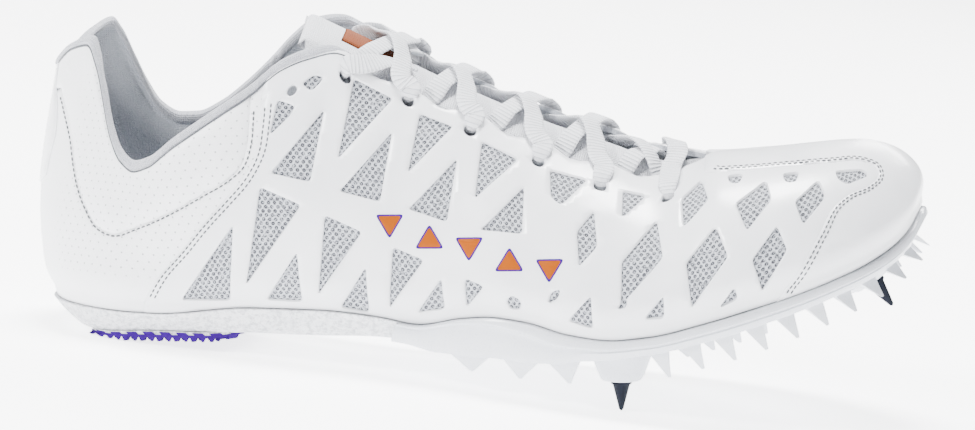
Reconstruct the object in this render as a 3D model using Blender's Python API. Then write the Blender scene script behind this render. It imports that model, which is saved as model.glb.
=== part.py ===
"""Track spike shoe, right foot: hollow upper on a foam heel and a toothed spike plate.

Metres, +Z up, toe towards +X, outer (lateral) side towards -Y. The shoe is drawn on its last,
heel tread level, and the empty STANCE then tips it onto its heel tread and rear spikes.
"""
import math

import bmesh
import bpy
import numpy as np
from mathutils import Matrix, Vector
from mathutils.geometry import delaunay_2d_cdt

# Driving sizes of the last and the upper
LAST_LENGTH = 0.285
BALL_WIDTH = 0.088
FOOTBED_HEIGHT = 0.0105
TOE_RISE = 0.0255
COLLAR_HEIGHT = 0.0848
UPPER_WALL = 0.0018
OVERLAY_THICKNESS = 0.0008
OVERLAY_GAP = 0.00035
PANEL_GAP = 0.0008
EYELET_RADIUS = 0.0021
EYELET_EDGE_DISTANCE = 0.0085
EYELET_CORNERS = 6

# Sole
SEAT_GAP = 0.0003
SOLE_THICKNESS = 0.012
SOLE_LIP = 0.0021
TREAD_THICKNESS = 0.0016
TREAD_LUG_HEIGHT = 0.0014
TREAD_LUG_PITCH = 0.0055
TREAD_INSET = 0.0035
TREAD_CORNER = 0.012
FIRST_LUG_LENGTH = 0.0085
# Share of a lug's pitch, and whether the tread is raised off its lugs there
TREAD_LUG_STEPS = ((0.20, 1), (0.45, 1), (0.65, 0), (1.00, 0))
TREAD_LENGTH = 0.0520
TREAD_START = 0.0685 * LAST_LENGTH
PLATE_START = 0.430 * LAST_LENGTH
PLATE_START_SLANT = 0.0035
JOINT_STATION_GAP = 0.02
INSOLE_THICKNESS = 0.003
INSOLE_CLEARANCE = 0.0006

# Spikes and teeth
SPIKE_LENGTH = 0.0085
SPIKE_RADIUS = 0.0026
SPIKE_TIP_RADIUS = 0.0007
SPIKE_FLANGE_RADIUS = 0.0033
SPIKE_FLANGE_HEIGHT = 0.0011
SPIKE_STUD_RADIUS = 0.0024
SPIKE_STUD_LENGTH = 0.0045
BORE_CLEARANCE = 0.0003
BOSS_TOP_RADIUS = 0.0098
BOSS_END_RADIUS = 0.0066
BOSS_ROOT = 0.0015
REAR_BOSS_HEIGHT = 0.0085
FRONT_BOSS_HEIGHT = 0.0022
REAR_SPIKE_ALONG = 0.675 * LAST_LENGTH
REAR_SPIKE_ACROSS = 0.358 * BALL_WIDTH
FRONT_SPIKE_ALONG = 0.942 * LAST_LENGTH
FRONT_SPIKE_ACROSS = 0.188 * BALL_WIDTH
FRONT_SPIKE_TILT = math.radians(38)
MEDIAL_SPIKE_SET_BACK = 0.0046
TOOTH_HEIGHT = 0.0082
TOOTH_LENGTH = 0.0064
TOOTH_WIDTH = 0.0042
TOOTH_PITCH = 0.0098
TOOTH_TIP = 0.0006
TOOTH_ROOT = 0.0010
TOOTH_LEAN = 0.3
TOOTH_SPLAY = math.radians(8)
TOE_TOOTH_SPLAY = math.radians(42)
TOE_TOOTH_SHARE = 0.78
SPLAY_START_STATION = 0.72
LAST_TOOTH_STATION = 0.975
SLOPE_LIMIT = 0.97
INNER_ROW_INSET = 0.019
INNER_TOOTH_SHARE = 0.7
INNER_TEETH = 4
WIDE_TEETH = (
    # along as a share of LAST_LENGTH, length of TOOTH_LENGTH, height of TOOTH_HEIGHT
    (0.507, 2.19, 0.59),
    (0.565, 1.95, 0.68),
    (0.616, 1.64, 0.83),
)

# Tongue and laces
TONGUE_THICKNESS = 0.0026
TONGUE_CLEARANCE = 0.0014
THROAT_CROWN = 0.0045
THROAT_CROWN_SHARE = 0.2
TONGUE_FREE_LENGTH = 0.009
TONGUE_NARROWING = 0.10
TONGUE_STATIONS = (0.680, 0.405)
TONGUE_ROWS = 11
TONGUE_RISES = (0.72, 0.86, 1.0)
LABEL_SHARE = 0.8
LABEL_THICKNESS = 0.0007
LACE_WIDTH = 0.0075
LACE_THICKNESS = 0.0012
LACE_CLEARANCE = 0.0009
LACE_LIFT = 0.0016
LACE_CREST = 0.0006
LACE_EDGE_SHARE = 0.22
LACE_END_ACROSS = 0.50
LACE_STEPS = 6

# How the shoe stands
HEEL_CUT_ALONG = TREAD_START + 0.003
HEEL_CUT_DEPTH = 0.0010

# How finely the upper is divided
STATIONS = 36
RISES = 7

LATERAL = -1
MEDIAL = 1
SIDES = (LATERAL, MEDIAL)

# Plan of the feather line: along as a share of LAST_LENGTH, halves and centre of BALL_WIDTH
FEATHER_START = 0.0196
FEATHER_END = 0.993
HEEL_ROUND = 0.105
TOE_ROUND = 0.205
ROUND_POWER = 2.2
PLAN = (
    # along, lateral half, medial half, centre
    (0.00, 0.340, 0.340, 0.000),
    (0.10, 0.342, 0.342, 0.000),
    (0.25, 0.338, 0.325, 0.000),
    (0.38, 0.334, 0.290, 0.000),
    (0.47, 0.365, 0.305, 0.000),
    (0.56, 0.440, 0.385, -0.004),
    (0.66, 0.490, 0.460, -0.011),
    (0.74, 0.497, 0.500, -0.008),
    (0.84, 0.480, 0.480, 0.020),
    (0.93, 0.455, 0.420, 0.065),
    (1.00, 0.430, 0.400, 0.095),
)

# Height of the feather line over the footbed, as a share of TOE_RISE
FEATHER = (
    # along, height
    (0.020, 0.02),
    (0.050, 0.00),
    (0.155, -0.07),
    (0.258, 0.02),
    (0.335, 0.01),
    (0.405, -0.06),
    (0.447, -0.13),
    (0.500, -0.02),
    (0.535, 0.02),
    (0.575, -0.02),
    (0.620, -0.14),
    (0.666, -0.19),
    (0.710, -0.14),
    (0.765, 0.02),
    (0.840, 0.28),
    (0.904, 0.53),
    (0.956, 0.79),
    (0.981, 1.02),
    (0.993, 1.26),
    (1.000, 1.36),
)

# Depth of the sole's side below the feather line, as a share of SOLE_THICKNESS
SOLE_DEPTH = (
    # along, depth
    (0.000, 0.36),
    (0.025, 0.50),
    (0.060, 0.68),
    (0.150, 0.52),
    (0.250, 0.72),
    (0.330, 0.74),
    (0.400, 0.60),
    (0.435, 0.55),
    (0.472, 0.80),
    (0.515, 1.06),
    (0.565, 1.08),
    (0.600, 0.90),
    (0.640, 0.60),
    (0.700, 0.45),
    (0.800, 0.48),
    (0.900, 0.47),
    (0.960, 0.46),
    (1.000, 0.48),
)

# Top edge of the upper: collar, eyestay edge, then the ridge. Along is a share of LAST_LENGTH,
# across a share of BALL_WIDTH out from the centre line, up a share of COLLAR_HEIGHT.
RIM = {
    LATERAL: (
        # station, along, across, up
        (0.000, 0.021, 0.000, 0.884),
        (0.030, 0.030, 0.080, 0.914),
        (0.060, 0.049, 0.153, 0.970),
        (0.088, 0.071, 0.193, 1.000),
        (0.108, 0.080, 0.215, 0.945),
        (0.132, 0.089, 0.240, 0.820),
        (0.160, 0.099, 0.273, 0.678),
        (0.190, 0.112, 0.301, 0.584),
        (0.220, 0.128, 0.318, 0.546),
        (0.250, 0.147, 0.330, 0.566),
        (0.280, 0.175, 0.335, 0.640),
        (0.310, 0.214, 0.318, 0.732),
        (0.340, 0.258, 0.273, 0.835),
        (0.365, 0.291, 0.233, 0.926),
        (0.385, 0.318, 0.199, 0.963),
        (0.400, 0.343, 0.170, 0.979),
        (0.420, 0.368, 0.163, 0.945),
        (0.450, 0.425, 0.159, 0.834),
        (0.500, 0.502, 0.153, 0.737),
        (0.550, 0.577, 0.148, 0.632),
        (0.600, 0.653, 0.131, 0.548),
        (0.640, 0.709, 0.091, 0.510),
        (0.670, 0.747, 0.028, 0.543),
        (0.690, 0.768, 0.000, 0.571),
        (0.750, 0.818, 0.000, 0.583),
        (0.820, 0.863, 0.000, 0.600),
        (0.900, 0.902, 0.000, 0.614),
        (1.000, 0.923, 0.000, 0.618),
    ),
    MEDIAL: (
        # station, along, across, up
        (0.000, 0.021, 0.000, 0.884),
        (0.030, 0.030, 0.080, 0.920),
        (0.060, 0.047, 0.153, 0.991),
        (0.088, 0.068, 0.193, 1.034),
        (0.108, 0.078, 0.215, 0.990),
        (0.132, 0.090, 0.250, 0.890),
        (0.160, 0.102, 0.284, 0.790),
        (0.190, 0.118, 0.312, 0.696),
        (0.220, 0.139, 0.330, 0.654),
        (0.250, 0.160, 0.330, 0.657),
        (0.280, 0.188, 0.318, 0.702),
        (0.310, 0.219, 0.290, 0.782),
        (0.340, 0.251, 0.250, 0.882),
        (0.365, 0.279, 0.210, 0.978),
        (0.385, 0.305, 0.182, 1.041),
        (0.400, 0.337, 0.165, 1.061),
        (0.420, 0.368, 0.157, 1.026),
        (0.450, 0.421, 0.151, 0.943),
        (0.500, 0.498, 0.131, 0.823),
        (0.550, 0.574, 0.114, 0.728),
        (0.600, 0.649, 0.097, 0.654),
        (0.640, 0.702, 0.068, 0.601),
        (0.670, 0.744, 0.023, 0.581),
        (0.690, 0.768, 0.000, 0.571),
        (0.750, 0.818, 0.000, 0.583),
        (0.820, 0.863, 0.000, 0.600),
        (0.900, 0.902, 0.000, 0.614),
        (1.000, 0.923, 0.000, 0.618),
    ),
}
ARM_STATION = 0.708
# Strip left bare along the feather line and the top edge, in rows of the net
SKIN_MARGIN = 0.08

# How each rib of the upper leaves the feather line and meets the top edge: lean in degrees
# outward from upright, and pull as a share of the rib's chord
RIB = (
    # station, foot lean, foot pull, top lean, top pull
    (0.00, 24, 0.35, 10, 0.35),
    (0.10, 22, 0.35, 8, 0.35),
    (0.16, 18, 0.35, 10, 0.33),
    (0.22, 14, 0.35, 14, 0.33),
    (0.30, 12, 0.35, 20, 0.33),
    (0.40, 10, 0.38, 28, 0.35),
    (0.45, 8, 0.38, 38, 0.35),
    (0.50, 6, 0.40, 48, 0.36),
    (0.60, 8, 0.40, 62, 0.40),
    (0.67, 12, 0.42, 80, 0.42),
    (0.69, 14, 0.42, 90, 0.44),
    (0.80, 16, 0.45, 90, 0.50),
    (0.90, 13, 0.48, 90, 0.50),
    (1.00, 4, 0.50, 90, 0.42),
)

# The picture that the panels are charted in: its view of a last of CHART_SIZE (length, ball width,
# collar height and footbed height), in its pixels
CHART_SIZE = (0.285, 0.088, 0.0848, 0.0105)
VIEW_AZIMUTH = math.radians(8)
VIEW_ELEVATION = math.radians(8)
VIEW_DISTANCE = 1.5
VIEW_TARGET = Vector((0.1455, 0.0, 0.0382))
PIXELS_PER_METRE = 3120
PICTURE_CENTRE = (487.5, 215.0)

# Windows in the quarter overlay, corner by corner in the picture's pixels
WINDOW_CHART = (
    ((278, 100), (295, 106), (291, 115), (270, 135)),
    ((324, 110), (271, 173), (310, 182)),
    ((354, 79), (393, 99), (338, 159)),
    ((392, 132), (340, 191), (380, 202)),
    ((420, 114), (453, 127), (408, 173)),
    ((457, 159), (409, 209), (447, 222)),
    ((482, 142), (518, 160), (475, 199)),
    ((524, 187), (481, 230), (522, 234)),
    ((550, 171), (587, 181), (561, 206), (551, 198)),
    ((623, 192), (646, 197), (622, 219)),
    ((233, 225), (182, 299), (230, 300)),
    ((260, 187), (301, 205), (247, 283)),
    ((297, 252), (267, 299), (302, 301)),
    ((325, 215), (362, 232), (319, 293)),
    ((366, 267), (341, 307), (369, 312)),
    ((393, 247), (424, 260), (390, 307)),
    ((442, 278), (418, 312), (445, 308)),
    ((466, 278), (485, 286), (467, 306)),
    ((591, 296), (569, 320), (593, 328)),
    ((664, 296), (645, 318), (664, 317)),
    ((702, 182), (709, 201), (684, 228), (682, 201)),
    ((766, 183), (771, 201), (747, 231), (736, 205)),
    ((818, 182), (825, 198), (803, 225), (795, 203)),
    ((716, 227), (728, 257), (692, 307), (686, 263)),
    ((777, 226), (787, 250), (762, 290), (752, 260)),
    ((657, 222), (663, 258), (621, 306), (622, 262)),
)
TOE_SEAM_CHART = (
    (777, 302), (798, 270), (821, 231), (843, 203), (864, 186),
    (862, 174), (832, 164), (768, 169), (702, 171),
)
HEEL_SEAM_CHART = ((142, 305), (158, 278), (179, 254), (197, 231), (221, 204), (243, 178), (257, 150), (262, 95))
COLLAR_SEAM_CHART = ((72, 154), (86, 207), (99, 228), (114, 234), (132, 229), (177, 209), (225, 181), (243, 158))
EYELET_STATIONS = (0.645, 0.596, 0.549, 0.499, 0.455, 0.405)


def smooth(rows, column, where):
    """One column of a table as a smooth curve that keeps to its rows, at one place or many."""
    xs = np.array([row[0] for row in rows], float)
    ys = np.array([row[column] for row in rows], float)
    step = np.diff(xs)
    slope = np.diff(ys) / step
    tangent = np.zeros(len(xs))
    same = slope[:-1] * slope[1:] > 0
    weight_a = 2 * step[1:] + step[:-1]
    weight_b = step[1:] + 2 * step[:-1]
    safe = np.where(same, slope[:-1], 1.0), np.where(same, slope[1:], 1.0)
    inner = (weight_a + weight_b) / (weight_a / safe[0] + weight_b / safe[1])
    tangent[1:-1] = np.where(same, inner, 0.0)
    tangent[0] = slope[0]
    tangent[-1] = slope[-1]
    x = np.clip(where, xs[0], xs[-1])
    k = np.clip(np.searchsorted(xs, x, side="right") - 1, 0, len(step) - 1)
    u = (x - xs[k]) / step[k]
    value = (1 + 2 * u) * (1 - u) ** 2 * ys[k] + u * (1 - u) ** 2 * step[k] * tangent[k]
    return value + u * u * (3 - 2 * u) * ys[k + 1] + u * u * (u - 1) * step[k] * tangent[k + 1]


def centre_line(along):
    return smooth(PLAN, 3, along / LAST_LENGTH) * BALL_WIDTH


def feather_height(along):
    return FOOTBED_HEIGHT + TOE_RISE * smooth(FEATHER, 1, along / LAST_LENGTH)


def sole_bottom(along):
    return feather_height(along) - SOLE_THICKNESS * smooth(SOLE_DEPTH, 1, along / LAST_LENGTH)


def station_of(along):
    """The station whose feather point lies at this distance along the last."""
    share = (along / LAST_LENGTH - FEATHER_START) / (FEATHER_END - FEATHER_START)
    return math.acos(1 - 2 * min(max(share, 0.0), 1.0)) / math.pi


def feather_point(side, station):
    """The feather line in plan; a station below 0 or above 1 carries on round the other side."""
    if station < 0 or station > 1:
        side = -side
        station = -station if station < 0 else 2 - station
    share = FEATHER_START + (FEATHER_END - FEATHER_START) * (1 - math.cos(math.pi * station)) / 2
    half = float(smooth(PLAN, 1 if side == LATERAL else 2, share))
    from_heel = min((share - FEATHER_START) / HEEL_ROUND, 1.0)
    from_toe = min((FEATHER_END - share) / TOE_ROUND, 1.0)
    for reach in (from_heel, from_toe):
        half *= max(1 - (1 - reach) ** ROUND_POWER, 0.0) ** (1 / ROUND_POWER)
    along = share * LAST_LENGTH
    return Vector((along, float(centre_line(along)) + side * half * BALL_WIDTH, 0.0))


def outward(side, station):
    """Level direction that points away from the last at a station."""
    step = 0.004
    run = feather_point(side, station + step) - feather_point(side, station - step)
    return Vector((-side * run.y, side * run.x, 0.0)).normalized()


def rim_point(side, station):
    rows = RIM[side]
    along = float(smooth(rows, 1, station)) * LAST_LENGTH
    across = side * float(smooth(rows, 2, station)) * BALL_WIDTH + float(centre_line(along))
    return Vector((along, across, FOOTBED_HEIGHT + float(smooth(rows, 3, station)) * COLLAR_HEIGHT))


def rib(side, station):
    """The four guide points of the rib that runs from the feather line to the top edge."""
    foot = feather_point(side, station)
    foot.z = float(feather_height(foot.x)) + SEAT_GAP
    top = rim_point(side, station)
    away = outward(side, station)
    lean, pull, top_lean, top_pull = (float(smooth(RIB, column, station)) for column in (1, 2, 3, 4))
    chord = (top - foot).length
    up = Vector((0, 0, 1))
    lean, top_lean = math.radians(lean), math.radians(top_lean)
    low = foot + (up * math.cos(lean) + away * math.sin(lean)) * pull * chord
    high = top + (away * math.sin(top_lean) - up * math.cos(top_lean)) * top_pull * chord
    return foot, low, high, top


def along_rib(guides, rise):
    foot, low, high, top = guides
    rest = 1 - rise
    return foot * rest ** 3 + low * 3 * rest ** 2 * rise + high * 3 * rest * rise ** 2 + top * rise ** 3


class Form:
    """The upper's outer face as a net of points, with the direction out of the wall at each."""

    def __init__(self):
        self.points = {}
        for side in SIDES:
            for i in range(STATIONS + 1):
                guides = rib(side, i / STATIONS)
                for j in range(RISES + 1):
                    self.points[side, i, j] = along_rib(guides, j / RISES)
        self.normals = self.find_normals()

    def find_normals(self):
        total = {}
        for side in SIDES:
            for i in range(STATIONS):
                for j in range(RISES):
                    corners = [(side, i, j), (side, i + 1, j), (side, i + 1, j + 1), (side, i, j + 1)]
                    a, b, c, d = (self.points[key] for key in corners)
                    turn = (c - a).cross(d - b) * -side
                    for key in corners:
                        place = place_key(self.points[key])
                        total[place] = total.get(place, Vector()) + turn
        return {key: total[place_key(point)].normalized() for key, point in self.points.items()}

    def at(self, side, u, v):
        """Point and direction at net place u, v, on the same flat triangles as the net."""
        i = min(int(u + 1e-9), STATIONS - 1)
        j = min(int(v + 1e-9), RISES - 1)
        fu, fv = u - i, v - j
        keys = [(side, i, j), (side, i + 1, j), (side, i + 1, j + 1), (side, i, j + 1)]
        if fu >= fv:
            shares = (1 - fu, fu - fv, fv, 0.0)
        else:
            shares = (1 - fv, 0.0, fu, fv - fu)
        point = sum((self.points[key] * share for key, share in zip(keys, shares)), Vector())
        normal = sum((self.normals[key] * share for key, share in zip(keys, shares)), Vector())
        return point, normal.normalized()


def place_key(point):
    return tuple(round(value, 7) for value in point)


def picture_place(point):
    """Where a point of the last shows in the charted picture, whatever the last's sizes are."""
    length, width, height, footbed = CHART_SIZE
    share_up = (point.z - FOOTBED_HEIGHT) / COLLAR_HEIGHT
    place = Vector((
        point.x / LAST_LENGTH * length,
        point.y / BALL_WIDTH * width,
        footbed + share_up * height,
    ))
    back = Vector((
        math.sin(VIEW_AZIMUTH) * math.cos(VIEW_ELEVATION),
        -math.cos(VIEW_AZIMUTH) * math.cos(VIEW_ELEVATION),
        math.sin(VIEW_ELEVATION),
    ))
    right = Vector((math.cos(VIEW_AZIMUTH), math.sin(VIEW_AZIMUTH), 0.0))
    up = back.cross(right)
    arm = place - (VIEW_TARGET + back * VIEW_DISTANCE)
    scale = PIXELS_PER_METRE * VIEW_DISTANCE / -arm.dot(back)
    return np.array((
        PICTURE_CENTRE[0] + scale * arm.dot(right),
        PICTURE_CENTRE[1] - scale * arm.dot(up),
    ))


def net_place(form, pixel, net_picture):
    """The net place on the lateral side that shows at a pixel of the charted picture."""
    pixel = np.array(pixel, float)
    gap = np.linalg.norm(net_picture - pixel, axis=2)
    i, j = np.unravel_index(np.argmin(gap), gap.shape)
    u, v = float(i), float(j)
    step = 0.02
    for _ in range(12):
        u = min(max(u, 0.0), STATIONS - step)
        v = min(max(v, 0.0), RISES - step)
        here = picture_place(form.at(LATERAL, u, v)[0])
        along_u = (picture_place(form.at(LATERAL, u + step, v)[0]) - here) / step
        along_v = (picture_place(form.at(LATERAL, u, v + step)[0]) - here) / step
        move = np.linalg.lstsq(np.stack((along_u, along_v), 1), pixel - here, rcond=None)[0]
        move = np.clip(move, -1.0, 1.0)
        u += move[0]
        v += move[1]
    return min(max(u, 0.0), float(STATIONS)), min(max(v, 0.0), float(RISES))


def inside(loop, u, v):
    """Whether a net place lies inside a closed loop of net places."""
    found = False
    for (au, av), (bu, bv) in zip(loop, loop[1:] + loop[:1]):
        if (av > v) != (bv > v) and u < (bu - au) * (v - av) / (bv - av) + au:
            found = not found
    return found


def cut_net(loop, holes):
    """Triangles over the part of the net inside a loop and outside its holes."""
    verts = []
    edges = []
    index = {}

    def vertex(u, v):
        key = (round(u, 5), round(v, 5))
        if key not in index:
            index[key] = len(verts)
            verts.append(Vector(key))
        return index[key]

    for i in range(STATIONS + 1):
        for j in range(RISES):
            edges.append((vertex(i, j), vertex(i, j + 1)))
    for j in range(RISES + 1):
        for i in range(STATIONS):
            edges.append((vertex(i, j), vertex(i + 1, j)))
    crossed = set()
    for ring in [loop] + holes:
        for (au, av), (bu, bv) in zip(ring, ring[1:] + ring[:1]):
            edges.append((vertex(au, av), vertex(bu, bv)))
            for share in np.linspace(0, 1, 24):
                crossed.add((int(au + (bu - au) * share), int(av + (bv - av) * share)))
    for i in range(STATIONS):
        for j in range(RISES):
            if (i, j) not in crossed or (i, j) == (STATIONS - 1, RISES - 1):
                edges.append((vertex(i, j), vertex(i + 1, j + 1)))
    out_verts, _, out_faces, _, _, _ = delaunay_2d_cdt(verts, edges, [], 0, 1e-6)
    kept = []
    for face in out_faces:
        mid = sum((out_verts[k] for k in face), Vector((0, 0))) / len(face)
        if inside(loop, mid.x, mid.y) and not any(inside(hole, mid.x, mid.y) for hole in holes):
            kept.append(tuple(face))
    return [(vert.x, vert.y) for vert in out_verts], kept


def thick_skin(pieces, form, low, high):
    """A closed skin over pieces of the net, from `low` to `high` out of the wall's outer face."""
    index = {}
    inner = []
    outer = []
    faces = []
    for side, verts, triangles in pieces:
        for triangle in triangles:
            keys = []
            for k in triangle:
                point, normal = form.at(side, *verts[k])
                key = place_key(point)
                if key not in index:
                    index[key] = len(inner)
                    inner.append(point + normal * low)
                    outer.append(point + normal * high)
                keys.append(index[key])
            if len(set(keys)) == 3:
                faces.append(keys if side == LATERAL else keys[::-1])
    count = len(inner)
    used = {}
    for a, b, c in faces:
        for edge in ((a, b), (b, c), (c, a)):
            used[edge] = True
    all_faces = [(a, b, c) for a, b, c in faces]
    all_faces += [(c + count, b + count, a + count) for a, b, c in faces]
    for a, b in used:
        if (b, a) not in used:
            all_faces.append((b, a, a + count, b + count))
    return outer + inner, all_faces


def paint(name, colour, roughness, metallic=0.0):
    material = bpy.data.materials.new(name)
    material.use_nodes = True
    shader = material.node_tree.nodes["Principled BSDF"]
    shader.inputs["Base Color"].default_value = (*colour, 1)
    shader.inputs["Roughness"].default_value = roughness
    shader.inputs["Metallic"].default_value = metallic
    material.diffuse_color = (*colour, 1)
    return material


def add_object(name, points, faces, material, parent):
    """A named object from points and faces, its faces turned to point out."""
    mesh = bpy.data.meshes.new(name)
    mesh.from_pydata([tuple(point) for point in points], [], faces)
    mesh.validate()
    work = bmesh.new()
    work.from_mesh(mesh)
    bmesh.ops.remove_doubles(work, verts=work.verts, dist=2e-6)
    bmesh.ops.triangulate(work, faces=work.faces)
    bmesh.ops.recalc_face_normals(work, faces=work.faces)
    work.to_mesh(mesh)
    work.free()
    mesh.materials.append(material)
    thing = bpy.data.objects.new(name, mesh)
    thing.parent = parent
    bpy.context.collection.objects.link(thing)
    return thing


def chart_reader(form):
    """A function that turns a chart's pixels into places on the net."""
    net = np.array([
        [picture_place(form.points[LATERAL, i, j]) for j in range(RISES + 1)]
        for i in range(STATIONS + 1)
    ])

    def charted(chart):
        return [net_place(form, pixel, net) for pixel in chart]

    return charted


def moved_right(line, distance):
    """A line of net places moved square to itself, to the right of its run for a distance over 0."""
    moved = []
    for k, (u, v) in enumerate(line):
        before, after = line[max(k - 1, 0)], line[min(k + 1, len(line) - 1)]
        run = Vector((after[0] - before[0], after[1] - before[1])).normalized()
        moved.append((u + run.y * distance, v - run.x * distance))
    return moved


def eyelet_rise(side, station):
    """How far up its rib an eyelet sits, and the rib's length."""
    guides = rib(side, station)
    length = sum((along_rib(guides, k / 8) - along_rib(guides, (k + 1) / 8)).length for k in range(8))
    return 1 - EYELET_EDGE_DISTANCE / length, length


def eyelet_loop(side, station):
    """An eyelet's outline in net places."""
    rise, length = eyelet_rise(side, station)
    ahead = along_rib(rib(side, station + 0.005), rise)
    behind = along_rib(rib(side, station - 0.005), rise)
    per_station = (ahead - behind).length / 0.01
    loop = []
    for k in range(EYELET_CORNERS):
        turn = 2 * math.pi * k / EYELET_CORNERS
        u = (station + EYELET_RADIUS * math.cos(turn) / per_station) * STATIONS
        v = (rise + EYELET_RADIUS * math.sin(turn) / length) * RISES
        loop.append((u, v))
    return loop


def build_upper(form, parent, paints):
    pieces = []
    for side in SIDES:
        loop = [(0, 0), (STATIONS, 0), (STATIONS, RISES), (0, RISES)]
        holes = [eyelet_loop(side, station) for station in EYELET_STATIONS]
        verts, faces = cut_net([(float(u), float(v)) for u, v in loop], holes)
        pieces.append((side, verts, faces))
    points, faces = thick_skin(pieces, form, -UPPER_WALL, 0.0)
    return add_object("upper", points, faces, paints["mesh"], parent)


def build_overlays(form, parent, paints):
    """Quarter overlays, toe overlay and heel counter, all skins just off the upper's outer face."""
    charted = chart_reader(form)
    toe_seam = charted(TOE_SEAM_CHART)
    heel_seam = charted(HEEL_SEAM_CHART)
    collar_seam = charted(COLLAR_SEAM_CHART)
    low, high = OVERLAY_GAP, OVERLAY_GAP + OVERLAY_THICKNESS
    half_gap = PANEL_GAP / 2 / LAST_LENGTH * STATIONS
    top = RISES - SKIN_MARGIN
    windows = [charted(chart) for chart in WINDOW_CHART]
    heel_edge = [(heel_seam[0][0], SKIN_MARGIN)] + heel_seam[1:-1] + [(heel_seam[-1][0], top)]
    arm_end = ARM_STATION * STATIONS
    toe_edge = [(toe_seam[0][0], SKIN_MARGIN)] + toe_seam[1:-1] + [(arm_end, toe_seam[-1][1])]
    quarter_loop = moved_right(heel_edge, half_gap)[::-1] + moved_right(toe_edge, -half_gap)
    quarter_loop[-1] = (arm_end - half_gap, quarter_loop[-1][1])
    quarter_loop += [(arm_end - half_gap, top)]
    names = {LATERAL: "quarter_overlay_lateral", MEDIAL: "quarter_overlay_medial"}
    for side in SIDES:
        eyelets = [eyelet_loop(side, station) for station in EYELET_STATIONS]
        verts, faces = cut_net(quarter_loop, windows + eyelets)
        points, faces = thick_skin([(side, verts, faces)], form, low, high)
        add_object(names[side], points, faces, paints["synthetic"], parent)

    toe_loop = moved_right(toe_edge, half_gap)
    toe_loop[-1] = (arm_end + half_gap, toe_loop[-1][1])
    toe_loop += [(arm_end + half_gap, float(RISES)), (float(STATIONS), float(RISES)), (float(STATIONS), SKIN_MARGIN)]
    pieces = [(side, *cut_net(toe_loop, [])) for side in SIDES]
    points, faces = thick_skin(pieces, form, low, high)
    add_object("toe_overlay", points, faces, paints["synthetic"], parent)

    counter_loop = [(0.0, SKIN_MARGIN), (heel_edge[0][0] - half_gap, SKIN_MARGIN)]
    counter_loop += [place for place in moved_right(heel_edge, -half_gap)[1:] if place[1] < collar_seam[-1][1]]
    counter_loop += collar_seam[::-1] + [(0.0, collar_seam[0][1])]
    pieces = [(side, *cut_net(counter_loop, [])) for side in SIDES]
    points, faces = thick_skin(pieces, form, low, high)
    add_object("heel_counter", points, faces, paints["synthetic"], parent)


def ring(stations, out, height):
    """A closed loop of points round the sole, lateral side first, pushed out from the feather line."""
    points = []
    for side, order in ((LATERAL, stations), (MEDIAL, stations[::-1])):
        for station in order:
            foot = feather_point(side, station)
            at_joint = 0 < station < 1 and station in (stations[0], stations[-1])
            away = Vector((0, side, 0)) if at_joint else outward(side, station)
            point = foot + away * out
            point.z = height(foot.x)
            points.append(point)
    return points


def loft(rings):
    """Closed solid from loops of the same count: sides, and rungs across the first and last."""
    count = len(rings[0])
    points = [point for loop in rings for point in loop]
    faces = []
    for level in range(len(rings) - 1):
        for k in range(count):
            low, high = level * count, (level + 1) * count
            faces.append((low + k, low + (k + 1) % count, high + (k + 1) % count, high + k))
    for level in (0, len(rings) - 1):
        start = level * count
        for k in range(count // 2 - 1):
            rung = (start + k, start + k + 1, start + count - 2 - k, start + count - 1 - k)
            faces.append(rung if level else rung[::-1])
    return merge(points, faces)


def merge(points, faces):
    """Points that coincide become one, and faces lose the corners that this doubles."""
    index = {}
    kept = []
    place = []
    for point in points:
        key = place_key(point)
        if key not in index:
            index[key] = len(kept)
            kept.append(point)
        place.append(index[key])
    clean = []
    for face in faces:
        corners = []
        for k in face:
            if place[k] not in corners:
                corners.append(place[k])
        if len(corners) > 2:
            clean.append(tuple(corners))
    return kept, clean


def net_stations(first, last):
    """The stations of the upper's net that lie between two stations, so that edges match."""
    return [i / STATIONS for i in range(STATIONS + 1) if first <= i / STATIONS <= last]


def spread(first, last, count):
    return [first + (last - first) * k / (count - 1) for k in range(count)]


def build_insole(parent, paints):
    stations = net_stations(0.0, 1.0)
    inset = UPPER_WALL + INSOLE_CLEARANCE

    def bottom(x):
        return float(feather_height(x)) + 2 * SEAT_GAP

    def top(x):
        return bottom(x) + INSOLE_THICKNESS

    rings = [ring(stations, -inset, bottom), ring(stations, -inset, top)]
    add_object("insole", *loft(rings), paints["lining"], parent)


def build_midsole(parent, paints):
    """Foam wedge from the heel to the slanted joint with the plate, its side bulging."""
    profile = (
        # share of the side's depth, push out from the feather line
        (0.00, 0.30),
        (0.20, 0.60),
        (0.50, 0.30),
        (0.80, -0.70),
        (1.00, -2.20),
    )
    rings = []
    for share, push in profile:
        end = PLATE_START - SEAT_GAP - PLATE_START_SLANT * share
        stations = net_stations(0.0, station_of(PLATE_START) - JOINT_STATION_GAP) + [station_of(end)]

        def height(x, share=share):
            top = float(feather_height(x))
            return top + (float(sole_bottom(x)) - top) * share

        rings.append(ring(stations, SOLE_LIP * push, height))
    add_object("midsole", *loft(rings), paints["foam"], parent)


def build_plate(parent, paints):
    """Spike plate: lip, side ridge, groove and lower band, then its teeth and bosses joined on."""
    profile = (
        # share of the side's depth, push out from the feather line
        (0.00, 0.60),
        (0.08, 1.00),
        (0.42, 1.35),
        (0.50, 0.75),
        (0.62, 0.85),
        (1.00, 0.25),
    )
    rings = []
    for share, push in profile:
        start = PLATE_START - PLATE_START_SLANT * share
        stations = [station_of(start)] + net_stations(station_of(PLATE_START) + JOINT_STATION_GAP / 2, 1.0)

        def height(x, share=share):
            top = float(feather_height(x))
            return top + (float(sole_bottom(x)) - top) * share

        rings.append(ring(stations, SOLE_LIP * push, height))
    return add_object("spike_plate", *loft(rings), paints["plate"], parent)


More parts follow.
